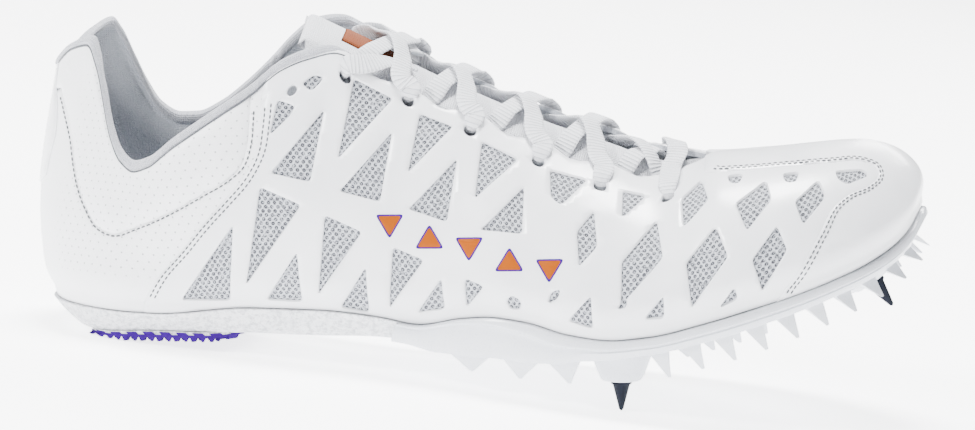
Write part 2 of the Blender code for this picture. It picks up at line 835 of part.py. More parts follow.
def tooth(base, run, inward, down, length, height, lean):
    """A pointed lug: a four-sided root sunk in the plate and a tip towards its front."""
    root = base - down * TOOTH_ROOT
    corners = [
        root - run * length / 2 - inward * TOOTH_WIDTH / 2,
        root + run * length / 2 - inward * TOOTH_WIDTH / 2,
        root + run * length / 2 + inward * TOOTH_WIDTH / 2,
        root - run * length / 2 + inward * TOOTH_WIDTH / 2,
    ]
    tip = base + down * height + run * lean * length
    tips = [tip - run * TOOTH_TIP, tip + run * TOOTH_TIP, tip + inward * TOOTH_TIP]
    faces = [(0, 1, 2, 3), (0, 4, 5, 1), (1, 5, 6, 2), (2, 6, 3), (3, 6, 4, 0), (4, 6, 5)]
    return corners + tips, faces


def plate_slope(along):
    """How steeply the plate's underside climbs towards the toe."""
    step = 0.002
    rise = float(sole_bottom(along + step)) - float(sole_bottom(along - step))
    return math.atan2(rise, 2 * step)


def edge_frame(side, station, inset):
    """Point on the plate's lower edge with its run, inward and downward directions."""
    away = outward(side, station)
    point = feather_point(side, station) - away * inset
    point.z = float(sole_bottom(point.x))
    ahead = feather_point(side, station + 0.004)
    behind = feather_point(side, station - 0.004)
    run = (ahead - behind).normalized()
    slope = plate_slope(min(point.x, SLOPE_LIMIT * LAST_LENGTH))
    run = Vector((run.x, run.y, run.x * math.tan(slope))).normalized()
    floor_normal = Vector((math.sin(slope), 0.0, -math.cos(slope)))
    return point, run, -away, floor_normal


def plate_teeth():
    """Teeth round the plate's edge and in two inner rows, as one list of points and faces."""
    teeth = []
    boss_edge = REAR_SPIKE_ALONG + BOSS_TOP_RADIUS
    for side in SIDES:
        for along, length, height in WIDE_TEETH:
            frame = edge_frame(side, station_of(along * LAST_LENGTH), TOOTH_WIDTH / 2)
            teeth.append(tooth(*frame, length * TOOTH_LENGTH, height * TOOTH_HEIGHT, 0.0))
        station = station_of(boss_edge + TOOTH_LENGTH / 2)
        while station < LAST_TOOTH_STATION:
            point, run, inward, down = edge_frame(side, station, TOOTH_WIDTH / 2)
            turn = min(max((station - SPLAY_START_STATION) / (1 - SPLAY_START_STATION), 0.0), 1.0)
            splay = TOOTH_SPLAY + (TOE_TOOTH_SPLAY - TOOTH_SPLAY) * turn
            aim = (down * math.cos(splay) - inward * math.sin(splay)).normalized()
            height = TOOTH_HEIGHT * (1 + (TOE_TOOTH_SHARE - 1) * turn)
            teeth.append(tooth(point, run, inward, aim, TOOTH_LENGTH, height, TOOTH_LEAN))
            here = feather_point(side, station)
            while (feather_point(side, station) - here).length < TOOTH_PITCH and station < 1:
                station += 0.001
        for k in range(INNER_TEETH):
            frame = edge_frame(side, station_of(boss_edge + TOOTH_PITCH * (k + 0.8)), INNER_ROW_INSET)
            teeth.append(tooth(*frame, TOOTH_LENGTH, TOOTH_HEIGHT * INNER_TOOTH_SHARE, TOOTH_LEAN))
    points = []
    faces = []
    for corners, sides in teeth:
        start = len(points)
        points += corners
        faces += [tuple(start + k for k in face) for face in sides]
    return points, faces


def turned(profile, place, segments=8):
    """Solid of revolution from rows of radius and height, closed at both ends."""
    points = []
    faces = []
    for radius, height in profile:
        for k in range(segments):
            turn = 2 * math.pi * k / segments
            points.append(place @ Vector((radius * math.cos(turn), radius * math.sin(turn), height)))
    for level in range(len(profile) - 1):
        for k in range(segments):
            a, b = level * segments, (level + 1) * segments
            faces.append((a + k, a + (k + 1) % segments, b + (k + 1) % segments, b + k))
    faces.append(tuple(range(segments))[::-1])
    last = (len(profile) - 1) * segments
    faces.append(tuple(last + k for k in range(segments)))
    return points, faces


def spike_places():
    """Where each spike's boss meets the plate, and its downward axis as local -Z."""
    places = {}
    for side, word in ((LATERAL, "lateral"), (MEDIAL, "medial")):
        rear = Vector((REAR_SPIKE_ALONG, side * REAR_SPIKE_ACROSS, float(sole_bottom(REAR_SPIKE_ALONG))))
        places["spike_rear_" + word] = (Matrix.Translation(rear), REAR_BOSS_HEIGHT)
        along = FRONT_SPIKE_ALONG - (MEDIAL_SPIKE_SET_BACK if side == MEDIAL else 0.0)
        middle = float(centre_line(along)) + side * FRONT_SPIKE_ACROSS
        front = Vector((along, middle, float(sole_bottom(along))))
        tilt = Matrix.Rotation(-FRONT_SPIKE_TILT, 4, "Y")
        places["spike_front_" + word] = (Matrix.Translation(front) @ tilt, FRONT_BOSS_HEIGHT)
    return places


def boolean(target, operand, operation, crossing=False):
    modifier = target.modifiers.new(operand.name, "BOOLEAN")
    modifier.object = operand
    modifier.operation = operation
    modifier.solver = "EXACT"
    modifier.use_self = crossing
    operand.hide_render = True
    operand.display_type = "WIRE"


def build_spikes(plate, parent, paints):
    """Bosses joined to the plate with a bore each, and a spike screwed into every bore."""
    for name, (place, height) in spike_places().items():
        boss_profile = ((BOSS_END_RADIUS, -height), (BOSS_TOP_RADIUS, 0.0), (BOSS_TOP_RADIUS, BOSS_ROOT))
        boss = add_object("boss_" + name, *turned(boss_profile, place, 12), paints["plate"], parent)
        boolean(plate, boss, "UNION")
        bore_radius = SPIKE_STUD_RADIUS + BORE_CLEARANCE
        bore_top = -height + SPIKE_STUD_LENGTH + BORE_CLEARANCE
        bore_profile = ((bore_radius, -height - BOSS_ROOT), (bore_radius, bore_top))
        bore = add_object("bore_" + name, *turned(bore_profile, place), paints["plate"], parent)
        boolean(plate, bore, "DIFFERENCE")
        seat = -height - BORE_CLEARANCE
        flange_end = seat - SPIKE_FLANGE_HEIGHT
        profile = (
            (SPIKE_TIP_RADIUS, flange_end - SPIKE_LENGTH),
            (SPIKE_RADIUS, flange_end),
            (SPIKE_FLANGE_RADIUS, flange_end),
            (SPIKE_FLANGE_RADIUS, seat),
            (SPIKE_STUD_RADIUS, seat),
            (SPIKE_STUD_RADIUS, seat + SPIKE_STUD_LENGTH),
        )
        add_object(name, *turned(profile, place), paints["spike"], parent)


def spike_tip_height():
    rear = float(sole_bottom(REAR_SPIKE_ALONG))
    return rear - REAR_BOSS_HEIGHT - BORE_CLEARANCE - SPIKE_FLANGE_HEIGHT - SPIKE_LENGTH


def tread_ground():
    """Lowest level of the heel tread on the last."""
    middle = TREAD_START + TREAD_LENGTH / 2
    return float(sole_bottom(middle)) - SEAT_GAP - TREAD_THICKNESS - TREAD_LUG_HEIGHT


def stance_slope():
    """Slope of the floor seen from the last: under the heel tread's back and the rear spikes' tips."""
    drop = tread_ground() + HEEL_CUT_DEPTH - spike_tip_height()
    return drop / (REAR_SPIKE_ALONG - SPIKE_TIP_RADIUS - HEEL_CUT_ALONG)


def floor_height(along):
    return tread_ground() + HEEL_CUT_DEPTH - (along - HEEL_CUT_ALONG) * stance_slope()


def build_tread(parent, paints):
    """Rubber heel piece with bar lugs, the back ones cut level with the floor."""
    stops = [(TREAD_START, 0), (TREAD_START + FIRST_LUG_LENGTH, 0)]
    along = TREAD_START + FIRST_LUG_LENGTH
    while along + TREAD_LUG_PITCH < TREAD_START + TREAD_LENGTH:
        for share, raised in TREAD_LUG_STEPS:
            stops.append((along + share * TREAD_LUG_PITCH, raised))
        along += TREAD_LUG_PITCH
    end = stops[-1][0]

    def half(side, along):
        edge = abs(feather_point(side, station_of(along)).y) - TREAD_INSET
        from_back = along - TREAD_START + TREAD_CORNER / 3
        near_end = min(end + SEAT_GAP - along, from_back, TREAD_CORNER) / TREAD_CORNER
        return edge * (1 - (1 - near_end) ** ROUND_POWER) ** (1 / ROUND_POWER)

    def lug_bottom(along, raised):
        body = tread_ground() + TREAD_LUG_HEIGHT
        return body if raised else max(tread_ground(), floor_height(along))

    rings = []
    for level in (0, 1):
        loop = []
        for side, order in ((LATERAL, stops), (MEDIAL, stops[::-1])):
            for along, raised in order:
                top = float(sole_bottom(along)) - SEAT_GAP
                height = top if level == 0 else lug_bottom(along, raised)
                loop.append(Vector((along, side * half(side, along), height)))
        rings.append(loop)
    add_object("heel_tread", *loft(rings), paints["tread"], parent)


def over_throat(form, station, across, lift):
    """A place on the arch from the lateral edge of the throat, -1, to the medial one, 1."""
    left, left_out = form.at(LATERAL, station * STATIONS, RISES)
    right, right_out = form.at(MEDIAL, station * STATIONS, RISES)
    out = (left_out + right_out).normalized()
    crown = min(THROAT_CROWN, (right - left).length * THROAT_CROWN_SHARE)
    point = left.lerp(right, (across + 1) / 2)
    return point + out * (crown * (1 - across * across) + lift), out


def tongue_rows(form):
    """Rows across the tongue, from its toe end to its free top, as points with directions."""
    drop = UPPER_WALL + TONGUE_CLEARANCE
    rows = []
    for station in spread(TONGUE_STATIONS[0], TONGUE_STATIONS[1], TONGUE_ROWS):
        row = []
        for side, rises in ((LATERAL, TONGUE_RISES), (MEDIAL, TONGUE_RISES[::-1])):
            for rise in rises:
                u, v = station * STATIONS, rise * RISES
                point, normal = form.at(side, u, v)
                row.append((point - normal * drop, normal))
        row.insert(3, over_throat(form, station, 0.0, -drop))
        rows.append(row)
    before, last = rows[-2][3][0], rows[-1][3][0]
    step = (last - before).normalized() * TONGUE_FREE_LENGTH / 2
    for share in (1, 2):
        row = []
        for point, normal in rows[TONGUE_ROWS - 1]:
            narrow = 1 - TONGUE_NARROWING * share
            place = point + step * share
            middle = rows[TONGUE_ROWS - 1][3][0].y
            place.y = middle + (place.y - middle) * narrow
            row.append((place, normal))
        rows.append(row)
    return rows


def skin_over(rows, low, high):
    """Closed skin over a net of rows, from `low` to `high` along each point's direction."""
    width = len(rows[0])
    count = width * len(rows)
    outer = [point + normal * high for row in rows for point, normal in row]
    inner = [point + normal * low for row in rows for point, normal in row]
    faces = []
    for r in range(len(rows) - 1):
        for k in range(width - 1):
            a = r * width + k
            faces.append((a, a + 1, a + width + 1, a + width))
            faces.append((count + a + width, count + a + width + 1, count + a + 1, count + a))
    border = [k for k in range(width)]
    border += [r * width + width - 1 for r in range(1, len(rows))]
    border += [(len(rows) - 1) * width + k for k in range(width - 2, -1, -1)]
    border += [r * width for r in range(len(rows) - 2, 0, -1)]
    for a, b in zip(border, border[1:] + border[:1]):
        faces.append((b, a, count + a, count + b))
    return outer + inner, faces


def build_tongue(form, parent, paints):
    rows = tongue_rows(form)
    points, faces = skin_over(rows, -TONGUE_THICKNESS, 0.0)
    add_object("tongue", points, faces, paints["lining"], parent)
    label_rows = [row[2:5] for row in rows[-4:-1]]
    narrowed = []
    for row in label_rows:
        middle = row[1][0]
        narrowed.append([(middle + (point - middle) * LABEL_SHARE, normal) for point, normal in row])
    points, faces = skin_over(narrowed, SEAT_GAP, SEAT_GAP + LABEL_THICKNESS)
    add_object("tongue_label", points, faces, paints["label"], parent)


def lace_path(form, side, from_station, to_station):
    """Middle line of one lace run: out of an eyelet, over the eyestay, towards the far edge."""
    over = OVERLAY_GAP + OVERLAY_THICKNESS + LACE_CLEARANCE + LACE_THICKNESS / 2
    rise, _ = eyelet_rise(side, from_station)
    eyelet, normal = form.at(side, from_station * STATIONS, rise * RISES)
    edge_station = from_station + (to_station - from_station) * LACE_EDGE_SHARE
    edge, edge_normal = form.at(side, edge_station * STATIONS, RISES)
    start = eyelet + normal * over
    crest = edge + edge_normal * (over + LACE_CREST)
    middle, middle_out = over_throat(form, (from_station + to_station) / 2, 0.0, LACE_LIFT)
    end_station = from_station + (to_station - from_station) * (1 - LACE_EDGE_SHARE)
    end, end_out = over_throat(form, end_station, -side * LACE_END_ACROSS, LACE_LIFT)
    return [start, crest, middle, end], [normal, edge_normal, middle_out, end_out]


def ribbon(path, normals):
    """Flat lace along a path: a closed strip with a rectangular section."""
    fine = []
    for k in range(LACE_STEPS + 1):
        t = k / LACE_STEPS * (len(path) - 1)
        i = min(int(t), len(path) - 2)
        f = t - i
        p0 = path[max(i - 1, 0)]
        p1, p2 = path[i], path[i + 1]
        p3 = path[min(i + 2, len(path) - 1)]
        point = p1 * 2 + (p2 - p0) * f + (p0 * 2 - p1 * 5 + p2 * 4 - p3) * f * f
        point += (p1 * 3 - p0 - p2 * 3 + p3) * f ** 3
        fine.append((point / 2, normals[i].lerp(normals[i + 1], f).normalized()))
    points = []
    for k, (point, normal) in enumerate(fine):
        ahead = fine[min(k + 1, LACE_STEPS)][0]
        behind = fine[max(k - 1, 0)][0]
        run = (ahead - behind).normalized()
        wide = run.cross(normal).normalized() * LACE_WIDTH / 2
        thick = wide.cross(run).normalized() * LACE_THICKNESS / 2
        points += [point - wide - thick, point + wide - thick, point + wide + thick, point - wide + thick]
    faces = []
    for k in range(LACE_STEPS):
        for c in range(4):
            a, b = k * 4 + c, k * 4 + (c + 1) % 4
            faces.append((a, b, b + 4, a + 4))
    faces.append((3, 2, 1, 0))
    last = LACE_STEPS * 4
    faces.append((last, last + 1, last + 2, last + 3))
    return points, faces


def build_laces(form, parent, paints):
    pairs = list(zip(EYELET_STATIONS, EYELET_STATIONS[1:]))
    for number, (low, high) in enumerate(pairs, 1):
        runs = []
        for side in SIDES:
            path, normals = lace_path(form, side, low, high)
            runs.append(ribbon(path, normals))
        name = f"lace_crossing_{number}"
        first = add_object(name, *runs[0], paints["lace"], parent)
        second = add_object("run_" + name, *runs[1], paints["lace"], parent)
        boolean(first, second, "UNION")


def make_paints():
    return {
        "mesh": paint("mesh", (0.78, 0.79, 0.82), 0.85),
        "synthetic": paint("synthetic", (0.90, 0.91, 0.93), 0.35),
        "lining": paint("lining", (0.74, 0.75, 0.78), 0.9),
        "label": paint("label", (0.95, 0.33, 0.02), 0.6),
        "foam": paint("foam", (0.88, 0.89, 0.91), 0.8),
        "plate": paint("plate", (0.86, 0.88, 0.91), 0.3),
        "tread": paint("tread", (0.16, 0.07, 0.42), 0.5),
        "spike": paint("spike", (0.02, 0.03, 0.05), 0.35, 0.6),
        "lace": paint("lace", (0.85, 0.86, 0.88), 0.8),
    }


def stand(stance):
    """Tip the last onto its heel tread and rear spikes, and put the origin under the box's middle."""
    angle = math.atan(stance_slope())
    stance.rotation_euler = (0.0, -angle, 0.0)
    bpy.context.view_layer.update()
    depsgraph = bpy.context.evaluated_depsgraph_get()
    low = np.full(3, np.inf)
    high = np.full(3, -np.inf)
    for thing in bpy.context.scene.objects:
        if thing.type != "MESH" or thing.hide_render:
            continue
        shown = thing.evaluated_get(depsgraph)
        mesh = shown.to_mesh()
        corners = np.empty(len(mesh.vertices) * 3)
        mesh.vertices.foreach_get("co", corners)
        turn = np.array(shown.matrix_world)
        corners = corners.reshape(-1, 3) @ turn[:3, :3].T + turn[:3, 3]
        low = np.minimum(low, corners.min(0))
        high = np.maximum(high, corners.max(0))
        shown.to_mesh_clear()
    stance.location = (-(low[0] + high[0]) / 2, -(low[1] + high[1]) / 2, -low[2])
    bpy.context.view_layer.update()


def main():
    for thing in list(bpy.data.objects):
        bpy.data.objects.remove(thing)
    stance = bpy.data.objects.new("STANCE", None)
    bpy.context.collection.objects.link(stance)
    paints = make_paints()
    form = Form()
    build_upper(form, stance, paints)
    build_overlays(form, stance, paints)
    build_insole(stance, paints)
    build_midsole(stance, paints)
    plate = build_plate(stance, paints)
    teeth = add_object("teeth", *plate_teeth(), paints["plate"], stance)
    boolean(plate, teeth, "UNION", crossing=True)
    build_spikes(plate, stance, paints)
    build_tread(stance, paints)
    build_tongue(form, stance, paints)
    build_laces(form, stance, paints)
    stand(stance)


main()
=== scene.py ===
import math

import bpy
import numpy as np
from mathutils import Matrix, Vector
from mathutils.geometry import delaunay_2d_cdt


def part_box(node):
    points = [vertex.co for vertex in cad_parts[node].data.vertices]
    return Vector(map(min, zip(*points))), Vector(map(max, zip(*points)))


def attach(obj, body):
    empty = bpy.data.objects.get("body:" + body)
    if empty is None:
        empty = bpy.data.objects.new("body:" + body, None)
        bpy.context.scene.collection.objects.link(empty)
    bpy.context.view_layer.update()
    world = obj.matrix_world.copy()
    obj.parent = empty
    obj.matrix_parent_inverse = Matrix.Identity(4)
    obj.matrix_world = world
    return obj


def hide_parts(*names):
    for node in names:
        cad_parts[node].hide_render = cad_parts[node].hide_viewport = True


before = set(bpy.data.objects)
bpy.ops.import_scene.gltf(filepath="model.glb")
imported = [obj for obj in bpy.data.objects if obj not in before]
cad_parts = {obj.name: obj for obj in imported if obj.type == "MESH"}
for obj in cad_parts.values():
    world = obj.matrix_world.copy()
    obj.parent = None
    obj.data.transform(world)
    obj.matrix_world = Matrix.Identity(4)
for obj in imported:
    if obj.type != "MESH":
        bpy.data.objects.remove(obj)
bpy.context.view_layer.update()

LATERAL = -1
MEDIAL = 1
SIDES = (LATERAL, MEDIAL)
MM = 0.001

# Driving sizes of the last, as in the solids
LAST_LENGTH = 0.285
BALL_WIDTH = 0.088
FOOTBED_HEIGHT = 0.0105
TOE_RISE = 0.0255
COLLAR_HEIGHT = 0.0848
UPPER_WALL = 0.0018
SEAT_GAP = 0.0003
SOLE_THICKNESS = 0.012
SOLE_LIP = 0.0021
PLATE_START = 0.430 * LAST_LENGTH
PLATE_START_SLANT = 0.0035
TREAD_START = 0.0685 * LAST_LENGTH
TREAD_LENGTH = 0.0520
TREAD_THICKNESS = 0.0016
TREAD_LUG_HEIGHT = 0.0014
TREAD_INSET = 0.0035
TREAD_CORNER = 0.012
HEEL_CUT_ALONG = TREAD_START + 0.003
HEEL_CUT_DEPTH = 0.0010
EYELET_RADIUS = 0.0021
SPIKE_LENGTH = 0.0085
SPIKE_RADIUS = 0.0026
SPIKE_TIP_RADIUS = 0.0007
SPIKE_FLANGE_RADIUS = 0.0033
SPIKE_FLANGE_HEIGHT = 0.0011
BORE_CLEARANCE = 0.0003
BOSS_TOP_RADIUS = 0.0098
BOSS_END_RADIUS = 0.0066
BOSS_ROOT = 0.0015
REAR_BOSS_HEIGHT = 0.0085
FRONT_BOSS_HEIGHT = 0.0022
REAR_SPIKE_ALONG = 0.675 * LAST_LENGTH
REAR_SPIKE_ACROSS = 0.358 * BALL_WIDTH
FRONT_SPIKE_ALONG = 0.942 * LAST_LENGTH
FRONT_SPIKE_ACROSS = 0.188 * BALL_WIDTH
FRONT_SPIKE_TILT = math.radians(38)
MEDIAL_SPIKE_SET_BACK = 0.0046
TOOTH_HEIGHT = 0.0082
TOOTH_LENGTH = 0.0064
TOOTH_WIDTH = 0.0042
TOOTH_PITCH = 0.0098
TOOTH_TIP = 0.0006
TOOTH_ROOT = 0.0010
TOOTH_LEAN = 0.3
TOOTH_SPLAY = math.radians(8)
TOE_TOOTH_SPLAY = math.radians(42)
TOE_TOOTH_SHARE = 0.78
SPLAY_START_STATION = 0.72
LAST_TOOTH_STATION = 0.975
SLOPE_LIMIT = 0.97
INNER_ROW_INSET = 0.019
INNER_TOOTH_SHARE = 0.7
INNER_TEETH = 4
WIDE_TEETH = ((0.507, 2.19, 0.59), (0.565, 1.95, 0.68), (0.616, 1.64, 0.83))
THROAT_CROWN = 0.0045
THROAT_CROWN_SHARE = 0.2
TONGUE_FREE_LENGTH = 0.0125

FEATHER_START = 0.0196
FEATHER_END = 0.993
HEEL_ROUND = 0.105
TOE_ROUND = 0.205
ROUND_POWER = 2.2
PLAN = (
    # along, lateral half, medial half, centre
    (0.00, 0.340, 0.340, 0.000),
    (0.10, 0.342, 0.342, 0.000),
    (0.25, 0.338, 0.325, 0.000),
    (0.38, 0.334, 0.290, 0.000),
    (0.47, 0.365, 0.305, 0.000),
    (0.56, 0.440, 0.385, -0.004),
    (0.66, 0.490, 0.460, -0.011),
    (0.74, 0.497, 0.500, -0.008),
    (0.84, 0.480, 0.480, 0.020),
    (0.93, 0.455, 0.420, 0.065),
    (1.00, 0.430, 0.400, 0.095),
)
FEATHER = (
    # along, height over the footbed, as shares of the length and of the toe's rise
    (0.020, 0.02), (0.050, 0.00), (0.155, -0.07), (0.258, 0.02), (0.335, 0.01), (0.405, -0.06),
    (0.447, -0.13), (0.500, -0.02), (0.535, 0.02), (0.575, -0.02), (0.620, -0.14), (0.666, -0.19),
    (0.710, -0.14), (0.765, 0.02), (0.840, 0.28), (0.904, 0.53), (0.956, 0.79), (0.981, 1.02),
    (0.993, 1.26), (1.000, 1.36),
)
SOLE_DEPTH = (
    # along, depth of the sole's side, as shares of the length and of the sole's thickness
    (0.000, 0.36), (0.025, 0.50), (0.060, 0.68), (0.150, 0.52), (0.250, 0.72), (0.330, 0.74),
    (0.400, 0.60), (0.435, 0.55), (0.472, 0.80), (0.515, 1.06), (0.565, 1.08), (0.600, 0.90),
    (0.640, 0.60), (0.700, 0.45), (0.800, 0.48), (0.900, 0.47), (0.960, 0.46), (1.000, 0.48),
)
RIM = {
    LATERAL: (
        # station, along, across, up
        (0.000, 0.021, 0.000, 0.884), (0.030, 0.030, 0.080, 0.914), (0.060, 0.049, 0.153, 0.970),
        (0.088, 0.071, 0.193, 1.000), (0.108, 0.080, 0.215, 0.945), (0.132, 0.089, 0.240, 0.820),
        (0.160, 0.099, 0.273, 0.678), (0.190, 0.112, 0.301, 0.584), (0.220, 0.128, 0.318, 0.546),
        (0.250, 0.147, 0.330, 0.566), (0.280, 0.175, 0.335, 0.640), (0.310, 0.214, 0.318, 0.732),
        (0.340, 0.258, 0.273, 0.835), (0.365, 0.291, 0.233, 0.926), (0.385, 0.318, 0.199, 0.963),
        (0.400, 0.343, 0.170, 0.979), (0.420, 0.368, 0.163, 0.945), (0.450, 0.425, 0.159, 0.834),
        (0.500, 0.502, 0.153, 0.737), (0.550, 0.577, 0.148, 0.632), (0.600, 0.653, 0.131, 0.548),
        (0.640, 0.709, 0.091, 0.510), (0.670, 0.747, 0.028, 0.543), (0.690, 0.768, 0.000, 0.571),
        (0.750, 0.818, 0.000, 0.583), (0.820, 0.863, 0.000, 0.600), (0.900, 0.902, 0.000, 0.614),
        (1.000, 0.923, 0.000, 0.618),
    ),
    MEDIAL: (
        # station, along, across, up
        (0.000, 0.021, 0.000, 0.884), (0.030, 0.030, 0.080, 0.920), (0.060, 0.047, 0.153, 0.991),
        (0.088, 0.068, 0.193, 1.034), (0.108, 0.078, 0.215, 0.990), (0.132, 0.090, 0.250, 0.890),
        (0.160, 0.102, 0.284, 0.790), (0.190, 0.118, 0.312, 0.696), (0.220, 0.139, 0.330, 0.654),
        (0.250, 0.160, 0.330, 0.657), (0.280, 0.188, 0.318, 0.702), (0.310, 0.219, 0.290, 0.782),
        (0.340, 0.251, 0.250, 0.882), (0.365, 0.279, 0.210, 0.978), (0.385, 0.305, 0.182, 1.041),
        (0.400, 0.337, 0.165, 1.061), (0.420, 0.368, 0.157, 1.026), (0.450, 0.421, 0.151, 0.943),
        (0.500, 0.498, 0.131, 0.823), (0.550, 0.574, 0.114, 0.728), (0.600, 0.649, 0.097, 0.654),
        (0.640, 0.702, 0.068, 0.601), (0.670, 0.744, 0.023, 0.581), (0.690, 0.768, 0.000, 0.571),
        (0.750, 0.818, 0.000, 0.583), (0.820, 0.863, 0.000, 0.600), (0.900, 0.902, 0.000, 0.614),
        (1.000, 0.923, 0.000, 0.618),
    ),
}
RIDGE_STATION = 0.69
# Shares of the last's side: the step that slopes are read over, and the longest move in a search
NET_STEP = 0.004
LARGEST_MOVE = 0.02
RIB = (
    # station, foot lean, foot pull, top lean, top pull
    (0.00, 24, 0.35, 10, 0.35),
    (0.10, 22, 0.35, 8, 0.35),
    (0.16, 18, 0.35, 10, 0.33),
    (0.22, 14, 0.35, 14, 0.33),
    (0.30, 12, 0.35, 20, 0.33),
    (0.40, 10, 0.38, 28, 0.35),
    (0.45, 8, 0.38, 38, 0.35),
    (0.50, 6, 0.40, 48, 0.36),
    (0.60, 8, 0.40, 62, 0.40),
    (0.67, 12, 0.42, 80, 0.42),
    (0.69, 14, 0.42, 90, 0.44),
    (0.80, 16, 0.45, 90, 0.50),
    (0.90, 13, 0.48, 90, 0.50),
    (1.00, 4, 0.50, 90, 0.42),
)

# The view that the charts below are drawn in, in pixels
VIEW_AZIMUTH = math.radians(8)
VIEW_ELEVATION = math.radians(8)
VIEW_DISTANCE = 1.5
VIEW_TARGET = Vector((0.1455, 0.0, 0.0382))
PIXELS_PER_METRE = 3120
PICTURE_SIZE = (975, 430)

WINDOWS = (
    ((278, 100), (295, 106), (291, 115), (270, 135)),
    ((324, 110), (271, 173), (310, 182)),
    ((354, 79), (393, 99), (338, 159)),
    ((392, 132), (340, 191), (380, 202)),
    ((420, 114), (453, 127), (408, 173)),
    ((457, 159), (409, 209), (447, 222)),
    ((482, 142), (518, 160), (475, 199)),
    ((524, 187), (481, 230), (522, 234)),
    ((550, 171), (587, 181), (561, 206), (551, 198)),
    ((623, 192), (646, 197), (622, 219)),
    ((233, 225), (182, 299), (230, 300)),
    ((260, 187), (301, 205), (247, 283)),
    ((297, 252), (267, 299), (302, 301)),
    ((325, 215), (362, 232), (319, 293)),
    ((366, 267), (341, 307), (369, 312)),
    ((393, 247), (424, 260), (390, 307)),
    ((442, 278), (418, 312), (445, 308)),
    ((466, 278), (485, 286), (467, 306)),
    ((591, 296), (569, 320), (593, 328)),
    ((664, 296), (645, 318), (664, 317)),
    ((702, 182), (709, 201), (684, 228), (682, 201)),
    ((766, 183), (771, 201), (747, 231), (736, 205)),
    ((818, 182), (825, 198), (803, 225), (795, 203)),
    ((716, 227), (728, 257), (692, 307), (686, 263)),
    ((777, 226), (787, 250), (762, 290), (752, 260)),
    ((657, 222), (663, 258), (621, 306), (622, 262)),
    ((302, 84), (314, 75), (323, 77), (321, 82), (311, 92)),
    ((507, 299), (514, 295), (522, 301), (520, 309), (510, 308)),
    ((549, 303), (552, 292), (561, 289), (559, 298)),
    ((618, 309), (622, 301), (628, 300), (626, 308)),
    ((728, 178), (743, 176), (739, 185), (731, 185)),
    ((783, 176), (799, 174), (795, 184), (786, 184)),
    ((835, 173), (862, 171), (868, 177), (846, 186), (838, 181)),
    ((734, 287), (738, 298), (720, 307)),
    ((594, 212), (597, 247), (579, 267), (577, 232)),
)
ACCENT_CENTRES = ((390, 226), (430, 237), (470, 249), (510, 260), (550, 271))
ACCENT_SIZE = (24, 20)
ACCENT_BORDER = 3.2
EYELETS = ((668, 199), (600, 187), (538, 162), (470, 131), (408, 101), (345, 77))
SPARE_EYELET = (292, 91)
SPARE_EYELET_SHARE = 0.8
EYELET_SIDES = 20
TOE_SEAM = (
    (776, 302), (797, 270), (818, 235), (834, 207), (848, 196), (868, 187), (877, 178), (875, 170),
    (862, 164), (832, 165), (798, 168), (756, 172), (706, 175),
)
HEEL_SEAM = (
    (142, 305), (158, 278), (179, 254), (197, 231), (221, 204), (243, 178), (254, 158), (259, 130),
    (262, 95),
)
COLLAR_SEAM = (
    (60, 84), (66, 106), (71, 130), (75, 165), (79, 187), (86, 207), (99, 228), (114, 234), (132, 229),
    (155, 220), (177, 209), (203, 194), (225, 181), (240, 167), (246, 150), (249, 120), (250, 98),
)
HEEL_STRIP = ((58, 82), (59, 110), (57, 135), (52, 155), (48, 175))
# Creases: two ends in the chart's pixels, half width and depth in millimetres
CREASES = (
    ((596, 300), (700, 262), 5.0, 0.35),
    ((640, 330), (742, 300), 6.0, 0.45),
    ((540, 262), (612, 236), 5.0, 0.25),
    ((92, 250), (150, 262), 7.0, 0.35),
    ((330, 96), (318, 168), 5.0, 0.25),
    ((396, 120), (386, 232), 5.0, 0.25),
    ((463, 150), (452, 262), 5.0, 0.25),
    ((530, 176), (528, 270), 6.0, 0.25),
    ((610, 200), (606, 290), 6.0, 0.25),
    ((200, 320), (420, 330), 4.0, 0.40),
    ((700, 214), (742, 240), 5.0, 0.25),
    ((880, 250), (930, 232), 9.0, 0.30),
)


def hermite(u, gap, values, slopes):
    """A curve's value at a share of the gap between two values with their slopes."""
    value = (1 + 2 * u) * (1 - u) ** 2 * values[0] + u * (1 - u) ** 2 * gap * slopes[0]
    return value + u * u * (3 - 2 * u) * values[1] + u * u * (u - 1) * gap * slopes[1]


def smooth(rows, column, where):
    """One column of a table as a smooth curve that keeps to its rows."""
    xs = np.array([row[0] for row in rows], float)
    ys = np.array([row[column] for row in rows], float)
    step = np.diff(xs)
    slope = np.diff(ys) / step
    tangent = np.zeros(len(xs))
    same = slope[:-1] * slope[1:] > 0
    weight_a = 2 * step[1:] + step[:-1]
    weight_b = step[1:] + 2 * step[:-1]
    safe = np.where(same, slope[:-1], 1.0), np.where(same, slope[1:], 1.0)
    inner = (weight_a + weight_b) / (weight_a / safe[0] + weight_b / safe[1])
    tangent[1:-1] = np.where(same, inner, 0.0)
    tangent[0] = slope[0]
    tangent[-1] = slope[-1]
    x = np.clip(where, xs[0], xs[-1])
    k = np.clip(np.searchsorted(xs, x, side="right") - 1, 0, len(step) - 1)
    return hermite((x - xs[k]) / step[k], step[k], (ys[k], ys[k + 1]), (tangent[k], tangent[k + 1]))


def unit(vectors):
    size = np.linalg.norm(vectors, axis=-1, keepdims=True)
    return vectors / np.maximum(size, 1e-12)


def fade(value):
    value = np.clip(value, 0.0, 1.0)
    return value * value * (3 - 2 * value)


def feather_height(along):
    return FOOTBED_HEIGHT + TOE_RISE * smooth(FEATHER, 1, along / LAST_LENGTH)


def sole_bottom(along):
    return feather_height(along) - SOLE_THICKNESS * smooth(SOLE_DEPTH, 1, along / LAST_LENGTH)


def centre_line(along):
    return smooth(PLAN, 3, along / LAST_LENGTH) * BALL_WIDTH


